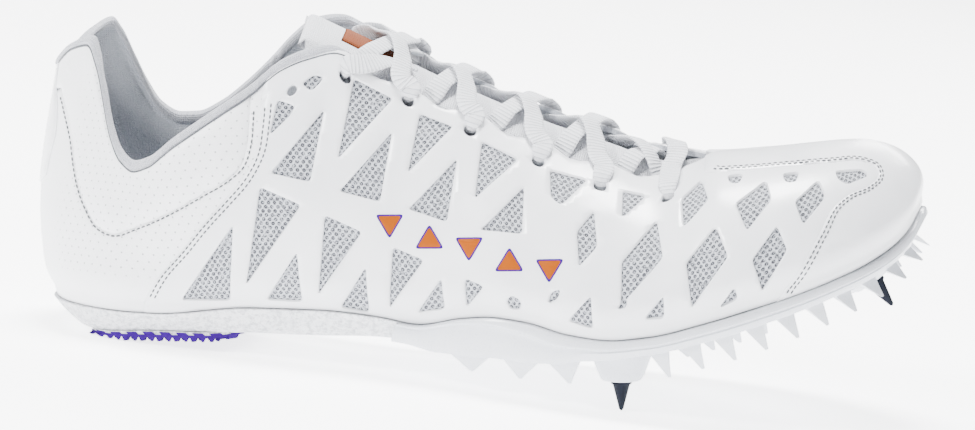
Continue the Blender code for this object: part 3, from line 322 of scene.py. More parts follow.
def station_of(along):
    share = (along / LAST_LENGTH - FEATHER_START) / (FEATHER_END - FEATHER_START)
    return math.acos(1 - 2 * min(max(share, 0.0), 1.0)) / math.pi


def feather_points(side, station):
    """The feather line in plan; a station below 0 or above 1 carries on round the other side."""
    station = np.atleast_1d(np.asarray(station, float))
    past = (station < 0) | (station > 1)
    folded = np.where(station < 0, -station, np.where(station > 1, 2 - station, station))
    sides = np.where(past, -side, side)
    share = FEATHER_START + (FEATHER_END - FEATHER_START) * (1 - np.cos(math.pi * folded)) / 2
    half = np.where(sides == LATERAL, smooth(PLAN, 1, share), smooth(PLAN, 2, share))
    for reach in ((share - FEATHER_START) / HEEL_ROUND, (FEATHER_END - share) / TOE_ROUND):
        left = np.clip(1 - np.minimum(reach, 1.0), 0.0, 1.0)
        half = half * np.maximum(1 - left ** ROUND_POWER, 0.0) ** (1 / ROUND_POWER)
    along = share * LAST_LENGTH
    return np.stack((along, centre_line(along) + sides * half * BALL_WIDTH, np.zeros(len(along))), -1)


def outward(side, station):
    station = np.atleast_1d(np.asarray(station, float))
    run = feather_points(side, station + NET_STEP) - feather_points(side, station - NET_STEP)
    return unit(np.stack((-side * run[:, 1], side * run[:, 0], np.zeros(len(run))), -1))


def upper_points(side, stations, rises):
    """Outer face of the upper at every pair of station and rise."""
    foot = feather_points(side, stations)
    foot[:, 2] = feather_height(foot[:, 0]) + SEAT_GAP
    rows = RIM[side]
    along = smooth(rows, 1, stations) * LAST_LENGTH
    across = side * smooth(rows, 2, stations) * BALL_WIDTH + centre_line(along)
    top = np.stack((along, across, FOOTBED_HEIGHT + smooth(rows, 3, stations) * COLLAR_HEIGHT), -1)
    away = outward(side, stations)
    lean, pull, top_lean, top_pull = (smooth(RIB, column, stations)[:, None] for column in (1, 2, 3, 4))
    chord = np.linalg.norm(top - foot, axis=1, keepdims=True)
    up = np.array((0.0, 0.0, 1.0))
    lean, top_lean = np.radians(lean), np.radians(top_lean)
    low = foot + (up * np.cos(lean) + away * np.sin(lean)) * pull * chord
    high = top + (away * np.sin(top_lean) - up * np.cos(top_lean)) * top_pull * chord
    t = np.asarray(rises)[None, :, None]
    rest = 1 - t
    foot, low, high, top = (points[:, None, :] for points in (foot, low, high, top))
    return foot * rest ** 3 + low * 3 * rest ** 2 * t + high * 3 * rest * t ** 2 + top * t ** 3


def view_directions():
    """The directions back and right in the chart's view."""
    back = (
        math.sin(VIEW_AZIMUTH) * math.cos(VIEW_ELEVATION),
        -math.cos(VIEW_AZIMUTH) * math.cos(VIEW_ELEVATION),
        math.sin(VIEW_ELEVATION),
    )
    return back, (math.cos(VIEW_AZIMUTH), math.sin(VIEW_AZIMUTH), 0.0)


def picture(points):
    """Where points of the last show in the chart's view, in its pixels."""
    back, right = (np.array(way) for way in view_directions())
    up = np.cross(back, right)
    arm = np.asarray(points) - (np.array(VIEW_TARGET) + back * VIEW_DISTANCE)
    scale = PIXELS_PER_METRE * VIEW_DISTANCE / -(arm @ back)
    return np.stack((
        PICTURE_SIZE[0] / 2 + scale * (arm @ right),
        PICTURE_SIZE[1] / 2 - scale * (arm @ up),
    ), -1)


class Surface:
    """The upper's outer face as a fine net over each side, with its directions and its lengths."""

    U_COUNT = 440
    V_COUNT = 88

    def __init__(self):
        stations = np.linspace(0, 1, self.U_COUNT + 1)
        rises = np.linspace(0, 1, self.V_COUNT + 1)
        self.stations = stations
        self.points = {side: upper_points(side, stations, rises) for side in SIDES}
        self.plain = {side: self.points[side].copy() for side in SIDES}
        self.find_normals()
        self.lengths = {}
        for side in SIDES:
            points = self.points[side]
            up = np.linalg.norm(np.diff(points, axis=1), axis=2)
            up = np.concatenate((np.zeros((len(points), 1)), np.cumsum(up, 1)), 1)
            middle = points[:, self.V_COUNT // 2]
            run = np.concatenate(((0.0,), np.cumsum(np.linalg.norm(np.diff(middle, axis=0), axis=1))))
            self.lengths[side] = np.stack((np.repeat(run[:, None], up.shape[1], 1), up), -1)

    def find_normals(self):
        self.normals = {}
        for side in SIDES:
            here, other = self.points[side], self.points[-side]
            padded = np.concatenate((other[1:2], here, other[-2:-1]))
            run = padded[2:] - padded[:-2]
            rise = np.gradient(here, axis=1)
            ridge = self.stations >= RIDGE_STATION
            rise[ridge, -1] = other[ridge, -2] - here[ridge, -2]
            self.normals[side] = unit(np.cross(run, rise) * -side)

    def relieve(self, height):
        for side in SIDES:
            self.points[side] = self.points[side] + self.normals[side] * height[side][:, :, None]
        self.find_normals()

    def read(self, field, u, v):
        u = np.clip(np.asarray(u, float), 0, 1) * self.U_COUNT
        v = np.clip(np.asarray(v, float), 0, 1) * self.V_COUNT
        i = np.minimum(u.astype(int), self.U_COUNT - 1)
        j = np.minimum(v.astype(int), self.V_COUNT - 1)
        fu, fv = (u - i)[..., None], (v - j)[..., None]
        low = field[i, j] * (1 - fu) + field[i + 1, j] * fu
        high = field[i, j + 1] * (1 - fu) + field[i + 1, j + 1] * fu
        return low * (1 - fv) + high * fv

    def at(self, side, u, v):
        return self.read(self.points[side], u, v), unit(self.read(self.normals[side], u, v))

    def span(self, side, u, v):
        return self.read(self.lengths[side], u, v)

    def places(self, pixels):
        """The net places of the lateral side that show at pixels of the chart."""
        def shown(u, v):
            return picture(self.read(self.plain[LATERAL], u, v))

        pixels = np.asarray(pixels, float)
        net = picture(self.plain[LATERAL])
        found = []
        for pixel in pixels:
            gap = np.linalg.norm(net - pixel, axis=2)
            found.append(np.unravel_index(np.argmin(gap), gap.shape))
        place = np.array(found, float) / (self.U_COUNT, self.V_COUNT)
        step = 0.002
        for _ in range(10):
            place = np.clip(place, 0, 1 - step)
            u, v = place[:, 0], place[:, 1]
            here = shown(u, v)
            du = (shown(u + step, v) - here) / step
            dv = (shown(u, v + step) - here) / step
            for k in range(len(pixels)):
                move = np.linalg.lstsq(np.stack((du[k], dv[k]), 1), pixels[k] - here[k], rcond=None)[0]
                place[k] += np.clip(move, -LARGEST_MOVE, LARGEST_MOVE)
        return np.clip(place, 0, 1)


def denser(line, step, closed=False):
    """A line with points added so that no stretch is longer than a step."""
    line = np.asarray(line, float)
    ends = np.concatenate((line[1:], line[:1])) if closed else line[1:]
    made = []
    for a, b in zip(line, ends):
        count = max(int(np.linalg.norm(b - a) / step), 1)
        made += [a + (b - a) * k / count for k in range(count)]
    if not closed:
        made.append(line[-1])
    return np.array(made)


def rounded(loop, radius, step=4.0):
    """A closed loop with its corners rounded, and points along its sides."""
    loop = np.asarray(loop, float)
    made = []
    count = len(loop)
    for k in range(count):
        before, here, after = loop[k - 1], loop[k], loop[(k + 1) % count]
        ends = []
        for other in (before, after):
            arm = other - here
            length = np.linalg.norm(arm)
            ends.append(here + arm / length * min(radius, 0.4 * length))
        for t in (0.0, 0.33, 0.67, 1.0):
            made.append(ends[0] * (1 - t) ** 2 + here * 2 * t * (1 - t) + ends[1] * t * t)
    return denser(made, step, closed=True)


def lengths_along(points):
    return np.concatenate(((0.0,), np.cumsum(np.linalg.norm(np.diff(points, axis=0), axis=1))))


def curve(along, values, where):
    tangent = np.gradient(values, along)
    k = np.clip(np.searchsorted(along, where, side="right") - 1, 0, len(along) - 2)
    gap = along[k + 1] - along[k]
    return hermite((where - along[k]) / gap, gap, (values[k], values[k + 1]), (tangent[k], tangent[k + 1]))


def eased(line, step=4.0):
    """An open line as a smooth curve through its points."""
    line = np.asarray(line, float)
    along = lengths_along(line)
    where = np.linspace(0, along[-1], max(int(along[-1] / step), 2) + 1)
    return np.stack([curve(along, line[:, column], where) for column in (0, 1)], -1)


def within(loop, points):
    """Which points lie inside a closed loop."""
    found = np.zeros(len(points), bool)
    x, y = points[:, 0], points[:, 1]
    for (ax, ay), (bx, by) in zip(loop, np.roll(loop, -1, 0)):
        if ay == by:
            continue
        crosses = (ay > y) != (by > y)
        found ^= crosses & (x < (bx - ax) * (y - ay) / (by - ay) + ax)
    return found


def moved(loop, distance):
    """A closed loop moved out of its own area by a distance."""
    before, after = np.roll(loop, 1, 0), np.roll(loop, -1, 0)
    turn = np.sum(loop[:, 0] * after[:, 1] - after[:, 0] * loop[:, 1])
    run = unit(after - before)
    out = np.stack((run[:, 1], -run[:, 0]), -1) * (1 if turn > 0 else -1)
    return loop + out * distance


def shifted(line, distance):
    """An open line moved square to itself."""
    run = unit(np.gradient(line, axis=0))
    return line + np.stack((run[:, 1], -run[:, 0]), -1) * distance


def nearest_gap(points, lines):
    """Distance of each point from the nearest point of any of the lines."""
    best = np.full(len(points), np.inf)
    for line in lines:
        low, high = line.min(0) - 3.0, line.max(0) + 3.0
        near = np.all((points > low) & (points < high), axis=1)
        if near.any():
            gap = np.linalg.norm(points[near][:, None] - line[None], axis=2).min(1)
            best[near] = np.minimum(best[near], gap)
    return best


# Size of the net's sheet in millimetres, so that its triangles come out even
SHEET = np.array((330.0, 90.0))
EDGE_ROUND = 0.4
HEEL_FOOT = (0.0, 0.0)
HEEL_RIM = (0.0, SHEET[1])
TOE_FOOT = (SHEET[0], 0.0)
TOE_RIM = (SHEET[0], SHEET[1])


def cut_sheet(outline, holes, step=1.5):
    """Net places and triangles over an outline with holes, all in the sheet's millimetres."""
    rims = [moved(hole, EDGE_ROUND) for hole in holes]
    lines = [denser(loop, 0.6, closed=True) for loop in [outline] + holes + rims]
    low, high = outline.min(0), outline.max(0)
    xs = np.arange(0, SHEET[0] + step, step)
    ys = np.linspace(0, SHEET[1], int(SHEET[1] / step) + 1)
    grid = np.array([(x, y) for x in xs for y in ys if low[0] <= x <= high[0] and low[1] <= y <= high[1]])
    grid = grid[within(outline, grid)]
    grid = grid[nearest_gap(grid, lines) > 0.5]
    verts = [Vector(point) for point in grid]
    edges = []
    for loop in [outline] + holes + rims:
        start = len(verts)
        verts += [Vector(point) for point in loop]
        edges += [(start + k, start + (k + 1) % len(loop)) for k in range(len(loop))]
    out, _, faces, _, _, _ = delaunay_2d_cdt(verts, edges, [], 0, 1e-4)
    places = np.array([tuple(vert) for vert in out])
    faces = np.array([tuple(face) for face in faces])
    middle = places[faces].mean(1)
    keep = within(outline, middle)
    for hole in holes:
        keep &= ~within(hole, middle)
    return places, faces[keep]


def add_mesh(name, points, faces, materials, uvs=None, slots=None, angle=None):
    """A new object in the last's frame, moved to the stance, smooth shaded."""
    mesh = bpy.data.meshes.new(name)
    world = np.asarray(points, float) @ TURN.T + SHIFT
    mesh.from_pydata(world.tolist(), [], [list(map(int, face)) for face in faces])
    layer = mesh.uv_layers.new(name="span")
    if uvs is not None:
        layer.data.foreach_set("uv", np.asarray(uvs, float).reshape(-1))
    for material in materials:
        mesh.materials.append(material)
    if slots is not None:
        mesh.polygons.foreach_set("material_index", np.asarray(slots, int))
    mesh.shade_smooth()
    if angle is not None:
        mesh.set_sharp_from_angle(angle=math.radians(angle))
    thing = placed(name, mesh)
    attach(thing, "root")
    return thing


def placed(name, data):
    """A new object in the scene."""
    thing = bpy.data.objects.new(name, data)
    bpy.context.scene.collection.objects.link(thing)
    return thing


def tube_faces(levels, segments, start=0):
    """Faces of a closed tube of equal rings, with both ends."""
    faces = []
    for level in range(levels - 1):
        a = start + level * segments
        b = a + segments
        for k in range(segments):
            after = (k + 1) % segments
            faces.append((a + k, a + after, b + after, b + k))
    last = start + (levels - 1) * segments
    faces.append(tuple(range(start, start + segments))[::-1])
    faces.append(tuple(range(last, last + segments)))
    return faces


def merged(points):
    """Index of the first point at each place, and the kept points."""
    index = {}
    place = []
    kept = []
    for k, key in enumerate(map(tuple, np.round(points, 6))):
        if key not in index:
            index[key] = len(kept)
            kept.append(k)
        place.append(index[key])
    return np.array(place), np.array(kept)


def without_doubles(faces, uvs, place, turned_over=False):
    """Faces on the kept points and their lengths, without corners that fall together."""
    clean, corner = [], []
    start = 0
    order = -1 if turned_over else 1
    for face in faces:
        ends, marks = [], []
        for k, e in enumerate(face):
            if place[e] not in ends:
                ends.append(place[e])
                marks.append(uvs[start + k])
        start += len(face)
        if len(ends) > 2:
            clean.append(ends[::order])
            corner += marks[::order]
    return clean, corner


def skin(name, pieces, low, high, materials, drop=0.5, lining=None, wall_slot=0):
    """A skin over pieces of the net: its face, its cut edges, and a lining face behind if asked."""
    points, uvs, faces, nets = [], [], [], []
    start = 0
    for side, places, triangles in pieces:
        used, triangles = np.unique(triangles, return_inverse=True)
        triangles = triangles.reshape(-1, 3)
        u, v = places[used, 0] / SHEET[0], places[used, 1] / SHEET[1]
        point, normal = SURFACE.at(side, u, v)
        points.append(np.concatenate((point, normal), 1))
        uvs.append(SURFACE.span(side, u, v))
        nets.append(np.stack((u, v), -1))
        faces.append((triangles if side == LATERAL else triangles[:, ::-1]) + start)
        start += len(used)
    both = np.concatenate(points)
    uvs = np.concatenate(uvs) / MM
    faces = np.concatenate(faces)
    place, kept = merged(both[:, :3])
    corner_uvs = uvs[faces]
    faces = place[faces]
    good = (faces[:, 0] != faces[:, 1]) & (faces[:, 1] != faces[:, 2]) & (faces[:, 0] != faces[:, 2])
    faces, corner_uvs = faces[good], corner_uvs[good]
    point, normal = both[kept, :3], both[kept, 3:]
    net = np.concatenate(nets)[kept]
    edges = np.concatenate((faces[:, (0, 1)], faces[:, (1, 2)], faces[:, (2, 0)]))
    known = set(map(tuple, edges))
    border = np.array([edge for edge in known if (edge[1], edge[0]) not in known])
    height = np.full(len(point), high)
    rim = np.unique(border)
    height[rim] -= min(drop * (high - low), 0.5 * (high - low))
    outer = point + normal * height[:, None]
    inner = point + normal * low
    count = len(outer)
    all_faces = [tuple(face) for face in faces]
    slots = [0] * len(faces)
    all_uvs = [corner_uvs.reshape(-1, 2)]
    flat = uvs[kept]
    for a, b in border:
        all_faces.append((b, a, a + count, b + count))
        slots.append(wall_slot)
    wall = np.stack((border[:, 1], border[:, 0], border[:, 0], border[:, 1]), 1)
    all_uvs.append(flat[wall].reshape(-1, 2))
    if lining is not None:
        inner = point + normal * lining(net[:, 0], net[:, 1])[:, None]
        all_faces += [(c + count, b + count, a + count) for a, b, c in faces]
        slots += [wall_slot] * len(faces)
        all_uvs.append(corner_uvs[:, ::-1].reshape(-1, 2))
    return add_mesh(
        name, np.concatenate((outer, inner)), all_faces, materials,
        np.concatenate(all_uvs), slots, angle=50,
    )


def tread_ground():
    middle = TREAD_START + TREAD_LENGTH / 2
    return float(sole_bottom(middle)) - SEAT_GAP - TREAD_THICKNESS - TREAD_LUG_HEIGHT


def spike_tip_height():
    rear = float(sole_bottom(REAR_SPIKE_ALONG))
    return rear - REAR_BOSS_HEIGHT - BORE_CLEARANCE - SPIKE_FLANGE_HEIGHT - SPIKE_LENGTH


FLOOR_START = tread_ground() + HEEL_CUT_DEPTH
FLOOR_SLOPE = (FLOOR_START - spike_tip_height()) / (REAR_SPIKE_ALONG - SPIKE_TIP_RADIUS - HEEL_CUT_ALONG)


def floor_height(along):
    return FLOOR_START - (along - HEEL_CUT_ALONG) * FLOOR_SLOPE


def find_shift():
    """Where the tipped last stands, from the solids' own boxes."""
    low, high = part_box("spike_rear_lateral")
    across = (low.y + high.y) / 2 + REAR_SPIKE_ACROSS
    tip = np.array((REAR_SPIKE_ALONG - SPIKE_TIP_RADIUS, 0.0, spike_tip_height()))
    coarse = [upper_points(side, np.linspace(0, 1, 37), np.linspace(0, 1, 8)) for side in SIDES]
    toe = max(float((points.reshape(-1, 3) @ TURN.T)[:, 0].max()) for points in coarse)
    return np.array((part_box("upper")[1].x - toe, across, -float((TURN @ tip)[2])))


TURN = np.array(Matrix.Rotation(-math.atan(FLOOR_SLOPE), 3, "Y"))
SHIFT = find_shift()
SURFACE = Surface()


class Paint:
    """A material built from small procedural steps."""

    def __init__(self, name, colour, roughness, **values):
        self.material = bpy.data.materials.new(name)
        self.material.use_nodes = True
        self.tree = self.material.node_tree
        self.shader = self.tree.nodes["Principled BSDF"]
        self.shader.inputs["Base Color"].default_value = (*colour, 1)
        self.shader.inputs["Roughness"].default_value = roughness
        for key, value in values.items():
            self.shader.inputs[key.replace("_", " ")].default_value = value
        self.material.diffuse_color = (*colour, 1)

    def node(self, kind, **settings):
        made = self.tree.nodes.new(kind)
        for key, value in settings.items():
            setattr(made, key, value)
        return made

    def link(self, source, target):
        self.tree.links.new(source, target)

    def math(self, operation, *values):
        made = self.node("ShaderNodeMath", operation=operation)
        for k, value in enumerate(values):
            if isinstance(value, (int, float)):
                made.inputs[k].default_value = value
            else:
                self.link(value, made.inputs[k])
        return made.outputs[0]

    def times(self, first, second):
        return self.math("MULTIPLY", first, second)

    def rest(self, value):
        return self.math("SUBTRACT", 1.0, value)

    def wave(self, value, rate):
        return self.math("SINE", self.times(value, rate))

    def span(self):
        """The piece's own lengths in millimetres, along and up."""
        made = self.node("ShaderNodeSeparateXYZ")
        self.link(self.node("ShaderNodeUVMap", uv_map="span").outputs[0], made.inputs[0])
        return made.outputs[0], made.outputs[1]

    def noise(self, scale, detail=3.0, roughness=0.55, stretch=None):
        """Smooth noise over the object's own space, at a scale per metre."""
        made = self.node("ShaderNodeTexNoise")
        made.inputs["Scale"].default_value = scale
        made.inputs["Detail"].default_value = detail
        made.inputs["Roughness"].default_value = roughness
        place = self.node("ShaderNodeTexCoord").outputs["Object"]
        if stretch:
            mapping = self.node("ShaderNodeMapping")
            mapping.inputs["Scale"].default_value = stretch
            self.link(place, mapping.inputs[0])
            place = mapping.outputs[0]
        self.link(place, made.inputs["Vector"])
        return made.outputs[0]

    def cells(self, scale):
        made = self.node("ShaderNodeTexVoronoi", feature="F1")
        made.inputs["Scale"].default_value = scale
        self.link(self.node("ShaderNodeTexCoord").outputs["Object"], made.inputs["Vector"])
        return made.outputs["Distance"]

    def dots(self, pitch, rows):
        """Distance in millimetres from the nearest dot of a staggered net."""
        spans = list(zip(self.span(), (pitch, 2 * rows)))
        best = None
        for start in (0.0, 0.5):
            squares = []
            for length, period in spans:
                phase = self.math("FRACT", self.math("ADD", self.math("DIVIDE", length, period), start))
                leg = self.times(self.math("SUBTRACT", phase, 0.5), period)
                squares.append(self.times(leg, leg))
            gap = self.math("SQRT", self.math("ADD", *squares))
            best = gap if best is None else self.math("MINIMUM", best, gap)
        return best

    def step(self, value, low, high):
        """0 under the low value, 1 over the high one, smooth between."""
        made = self.node("ShaderNodeMapRange", interpolation_type="SMOOTHSTEP")
        made.inputs["From Min"].default_value = low
        made.inputs["From Max"].default_value = high
        self.link(value, made.inputs["Value"])
        return made.outputs[0]

    def tint(self, factor, first, second):
        """Base colour between two colours."""
        made = self.node("ShaderNodeMix", data_type="RGBA")
        made.inputs["A"].default_value = (*first, 1)
        made.inputs["B"].default_value = (*second, 1)
        self.link(factor, made.inputs["Factor"])
        self.link(made.outputs["Result"], self.shader.inputs["Base Color"])

    def gloss(self, factor, low, high):
        made = self.node("ShaderNodeMapRange")
        made.inputs["To Min"].default_value = low
        made.inputs["To Max"].default_value = high
        self.link(factor, made.inputs["Value"])
        self.link(made.outputs[0], self.shader.inputs["Roughness"])

    def bump(self, *layers):
        """Relief from pairs of height and depth in millimetres."""
        before = None
        for height, depth in layers:
            made = self.node("ShaderNodeBump")
            made.inputs["Strength"].default_value = 1.0
            made.inputs["Distance"].default_value = depth * MM
            self.link(height, made.inputs["Height"])
            if before is not None:
                self.link(before, made.inputs["Normal"])
            before = made.outputs[0]
        self.link(before, self.shader.inputs["Normal"])
        return self.material


# Patterns of the fabrics, in millimetres, and the knit's waves per millimetre
MESH_RING_PITCH = 2.05
MESH_RING_ROWS = 1.32
PANEL_HOLE_PITCH = 3.3
PANEL_HOLE_ROWS = 2.4
LACE_RIB_PITCH = 1.15
LACE_WEAVE_PITCH = 0.8
KNIT_RATE = 9.0

FLOOR_GLOW = 3.4
SYNTHETIC_WHITE = (0.74, 0.75, 0.77)
PANEL_WHITE = (0.73, 0.74, 0.76)
MESH_SILVER = (0.40, 0.42, 0.46)
# MESH_DARK: painted shade inside the mesh's openings, and the colour of its random flecks
MESH_DARK = (0.02, 0.023, 0.032)
ORANGE = (0.24, 0.052, 0.0)
LABEL_ORANGE = (0.17, 0.033, 0.0)
PURPLE = (0.030, 0.003, 0.13)
PLATE_GREY = (0.58, 0.60, 0.64)
SPIKE_BLACK = (0.003, 0.004, 0.008)
FLOOR_WHITE = (0.93, 0.93, 0.94)


def make_materials():
    made = {}
    paint = Paint("mesh", (0.60, 0.62, 0.66), 0.7, Sheen_Weight=0.2)
    gap = paint.dots(MESH_RING_PITCH, MESH_RING_ROWS)
    threads = paint.noise(1900, 2)
    # The dark rings round the knit's openings, sunk by the bump, are painted shade seen into the holes; the
    # flecks from the grain are the knit's own random tone.
    ring = paint.times(paint.step(gap, 0.06, 0.20), paint.rest(paint.step(gap, 0.50, 0.72)))
    shade = paint.times(ring, paint.step(threads, 0.32, 0.50))
    grain = paint.step(paint.noise(1250, 2), 0.50, 0.72)
    shade = paint.math("MAXIMUM", shade, paint.times(grain, 0.70))
    paint.tint(shade, MESH_SILVER, MESH_DARK)
    made["mesh"] = paint.bump((paint.rest(ring), 0.30), (threads, 0.20))

    for name, colour, dark, rough in (
        ("synthetic", SYNTHETIC_WHITE, (0.60, 0.61, 0.64), 0.28),
        ("accent_orange", ORANGE, (0.22, 0.047, 0.0), 0.4),
        ("accent_purple", PURPLE, (0.022, 0.006, 0.12), 0.4),
    ):
        glossy = name == "synthetic"
        coat = {"Coat_Weight": 0.25 if glossy else 0.0, "Specular_IOR_Level": 0.5 if glossy else 0.05}
        paint = Paint(name, colour, rough, Coat_Roughness=0.2, **coat)
        cloudy = paint.noise(55, 2)
        grain = paint.noise(1500, 2)
        paint.tint(cloudy, colour, dark)
        paint.gloss(grain, rough - 0.05, rough + 0.10)
        made[name] = paint.bump((cloudy, 0.5), (grain, 0.03))

    paint = Paint("panel", PANEL_WHITE, 0.42, Sheen_Weight=0.1)
    along, up = paint.span()
    gap = paint.dots(PANEL_HOLE_PITCH, PANEL_HOLE_ROWS)
    spread = paint.times(paint.step(along, 24.0, 34.0), paint.step(up, 9.0, 15.0))
    # Perforations over part of the panel, each pressed in by the bump and painted dark as the shade inside
    # its hole.
    hole = paint.times(paint.rest(paint.step(gap, 0.16, 0.32)), spread)
    grain = paint.noise(900, 3)
    paint.tint(hole, PANEL_WHITE, (0.36, 0.37, 0.40))
    made["panel"] = paint.bump((paint.rest(hole), 0.20), (grain, 0.10), (paint.noise(60, 2), 0.5))

    for name, colour, dark, depth in (
        # lining: grey fabric darkened past its own tone, painted shade of the shoe's inside
        ("lining", (0.40, 0.42, 0.46), (0.32, 0.34, 0.38), 0.12),
        ("binding", (0.40, 0.41, 0.44), (0.28, 0.29, 0.33), 0.16),
        ("tongue", (0.66, 0.67, 0.70), (0.58, 0.59, 0.63), 0.14),
        ("label", LABEL_ORANGE, (0.14, 0.028, 0.0), 0.10),
        ("insole", (0.56, 0.57, 0.60), (0.48, 0.49, 0.52), 0.12),
        # thread: near-black, so the stitches also carry painted shade of their needle holes; the same
        # material paints the shadow line under the binding
        ("thread", (0.075, 0.08, 0.09), (0.05, 0.055, 0.065), 0.05),
    ):
        sheen = 0.0 if name == "label" else 0.3
        paint = Paint(name, colour, 0.85, Sheen_Weight=sheen, Sheen_Roughness=0.5)
        along, up = paint.span()
        knit = paint.math("ADD", paint.wave(along, KNIT_RATE), paint.wave(up, KNIT_RATE))
        fuzz = paint.noise(2200, 3)
        paint.tint(paint.step(fuzz, 0.3, 0.7), colour, dark)
        made[name] = paint.bump((knit, depth * 0.4), (fuzz, depth))

    paint = Paint("lace", (0.72, 0.73, 0.76), 0.8, Sheen_Weight=0.3, Sheen_Roughness=0.5)
    along, up = paint.span()
    rib = paint.math("ABSOLUTE", paint.wave(along, math.pi / LACE_RIB_PITCH))
    weave = paint.math("ABSOLUTE", paint.wave(up, math.pi / LACE_WEAVE_PITCH))
    # The grooves between the ribs, where the bump sinks, are painted darker: painted shade in the grooves.
    paint.tint(paint.step(rib, 0.0, 0.45), (0.34, 0.36, 0.40), (0.60, 0.61, 0.64))
    made["lace"] = paint.bump((rib, 0.22), (weave, 0.06), (paint.noise(2500, 2), 0.06))

    paint = Paint("foam", (0.60, 0.61, 0.64), 0.6)
    grain = paint.cells(1100)
    speckle = paint.noise(650, 4, 0.75)
    paint.tint(paint.step(speckle, 0.42, 0.64), (0.62, 0.63, 0.65), (0.36, 0.37, 0.40))
    made["foam"] = paint.bump((grain, 0.35), (speckle, 0.25))

    paint = Paint("plate", PLATE_GREY, 0.28, Coat_Weight=0.2, Coat_Roughness=0.15)
    flow = paint.noise(40, 2)
    grain = paint.noise(1200, 2)
    paint.tint(flow, PLATE_GREY, (0.46, 0.48, 0.52))
    paint.gloss(grain, 0.22, 0.36)
    made["plate"] = paint.bump((flow, 0.15), (grain, 0.02))

    paint = Paint("tread", PURPLE, 0.7, Specular_IOR_Level=0.05)
    grain = paint.noise(1300, 3)
    paint.tint(grain, PURPLE, (0.022, 0.003, 0.10))
    made["tread"] = paint.bump((grain, 0.05))

    paint = Paint("spike", SPIKE_BLACK, 0.65, Specular_IOR_Level=0.08)
    brushed = paint.noise(900, 2, stretch=(1.0, 1.0, 0.1))
    paint.gloss(brushed, 0.50, 0.75)
    paint.tint(brushed, SPIKE_BLACK, (0.007, 0.009, 0.016))
    made["spike"] = paint.bump((brushed, 0.02))

    paint = Paint("floor", FLOOR_WHITE, 0.75, Emission_Strength=FLOOR_GLOW)
    paint.shader.inputs["Emission Color"].default_value = (1, 1, 1, 1)
    grain = paint.noise(30, 2)
    paint.tint(grain, FLOOR_WHITE, (0.91, 0.91, 0.93))
    made["floor"] = paint.bump((grain, 0.02))
    return made


MATERIAL = make_materials()


def chart_line(pixels):
    return SURFACE.places(eased(pixels)) * SHEET


def chart_loop(pixels, radius=4.0, step=4.0):
    return SURFACE.places(rounded(pixels, radius, step)) * SHEET


def run_to(start, end, step=1.5):
    """A straight run of points in the sheet, without its last one."""
    return denser([start, end], step)[:-1]


HEEL_LINE = chart_line(HEEL_SEAM)
HEEL_LINE[0, 1] = 0.0
HEEL_LINE[-1, 1] = SHEET[1]
TOE_LINE = chart_line(TOE_SEAM)
TOE_LINE[0, 1] = 0.0
COLLAR_LINE = chart_line(COLLAR_SEAM)
COLLAR_LINE[0, 0] = 0.0
COLLAR_LINE[-1, 1] = SHEET[1]
SCALLOP_DEPTH = 0.0026
QUARTER_TOP = 0.9 * MM
TOE_TOP = 1.4 * MM


def line_gap(net, line):
    """Distance of every point of a net from a line of the sheet."""
    gap = np.full(net.shape[:2], 1.0)
    for spot in SURFACE.read(net, line[:, 0] / SHEET[0], line[:, 1] / SHEET[1]):
        gap = np.minimum(gap, np.linalg.norm(net - spot, axis=2))
    return gap


def bell(distance, width):
    return np.exp(-((distance / width) ** 2))


def relief():
    """Creases, grooves beside the seams, and the soft collar's fullness, as heights over the last."""
    heights = {}
    crease_lines = [(SURFACE.places(denser(row[:2], 6.0)) * SHEET, row[2], row[3]) for row in CREASES]
    seams = [(line, 1.1, 0.35) for line in (HEEL_LINE, COLLAR_LINE)]
    for side in SIDES:
        plain = SURFACE.plain[side]
        height = np.zeros(plain.shape[:2])
        for line, width, depth in crease_lines + seams:
            height -= depth * MM * bell(line_gap(plain, line), width * MM)
        up = SURFACE.lengths[side][:, :, 1]
        height -= 0.5 * MM * bell(up - 3.5 * MM, 2.5 * MM)
        height += 0.5 * MM * bell(up - 10 * MM, 5 * MM)
        collar = line_gap(plain, COLLAR_LINE)
        outline = np.concatenate((COLLAR_LINE, [HEEL_RIM]))
        rises = np.linspace(0, SHEET[1], height.shape[1])
        u, v = np.meshgrid(SURFACE.stations * SHEET[0], rises, indexing="ij")
        in_collar = within(outline, np.stack((u.ravel(), v.ravel()), -1)).reshape(height.shape)
        full = fade((u / SHEET[0] - 0.055) / 0.05) * fade((SHEET[1] - v) / 9.0)
        height += np.where(in_collar, 1.1 * MM * fade(collar / (7 * MM)) * full, 0.0)
        heights[side] = height
    SURFACE.relieve(heights)


relief()


EYELET_PLACES = SURFACE.places(EYELETS)
EYELET_STATIONS = EYELET_PLACES[:, 0]


def throat_edge(inset=0.0):
    """The scalloped edge of the eyestay from the ridge back to the collar, in the sheet."""
    made = []
    for station in np.linspace(RIDGE_STATION, 0.36, 150):
        length = float(SURFACE.span(LATERAL, station, 1.0)[1])
        dip = 0.0
        if EYELET_STATIONS[-1] <= station <= EYELET_STATIONS[0]:
            k = int(np.searchsorted(-EYELET_STATIONS, -station, side="right")) - 1
            k = min(k, len(EYELET_STATIONS) - 2)
            phase = (EYELET_STATIONS[k] - station) / (EYELET_STATIONS[k] - EYELET_STATIONS[k + 1])
            dip = SCALLOP_DEPTH * (0.5 - 0.5 * math.cos(2 * math.pi * phase)) ** 1.5
        made.append((station * SHEET[0], SHEET[1] * (1 - (dip + inset) / length)))
    return np.array(made)


def eyelet_centre(side, number):
    """Net place of an eyelet's centre, as far from the edge on both sides."""
    station, rise = EYELET_PLACES[number]
    gap = (1 - rise) * SURFACE.span(LATERAL, station, 1.0)[1]
    return np.array((station, 1 - gap / SURFACE.span(side, station, 1.0)[1]))


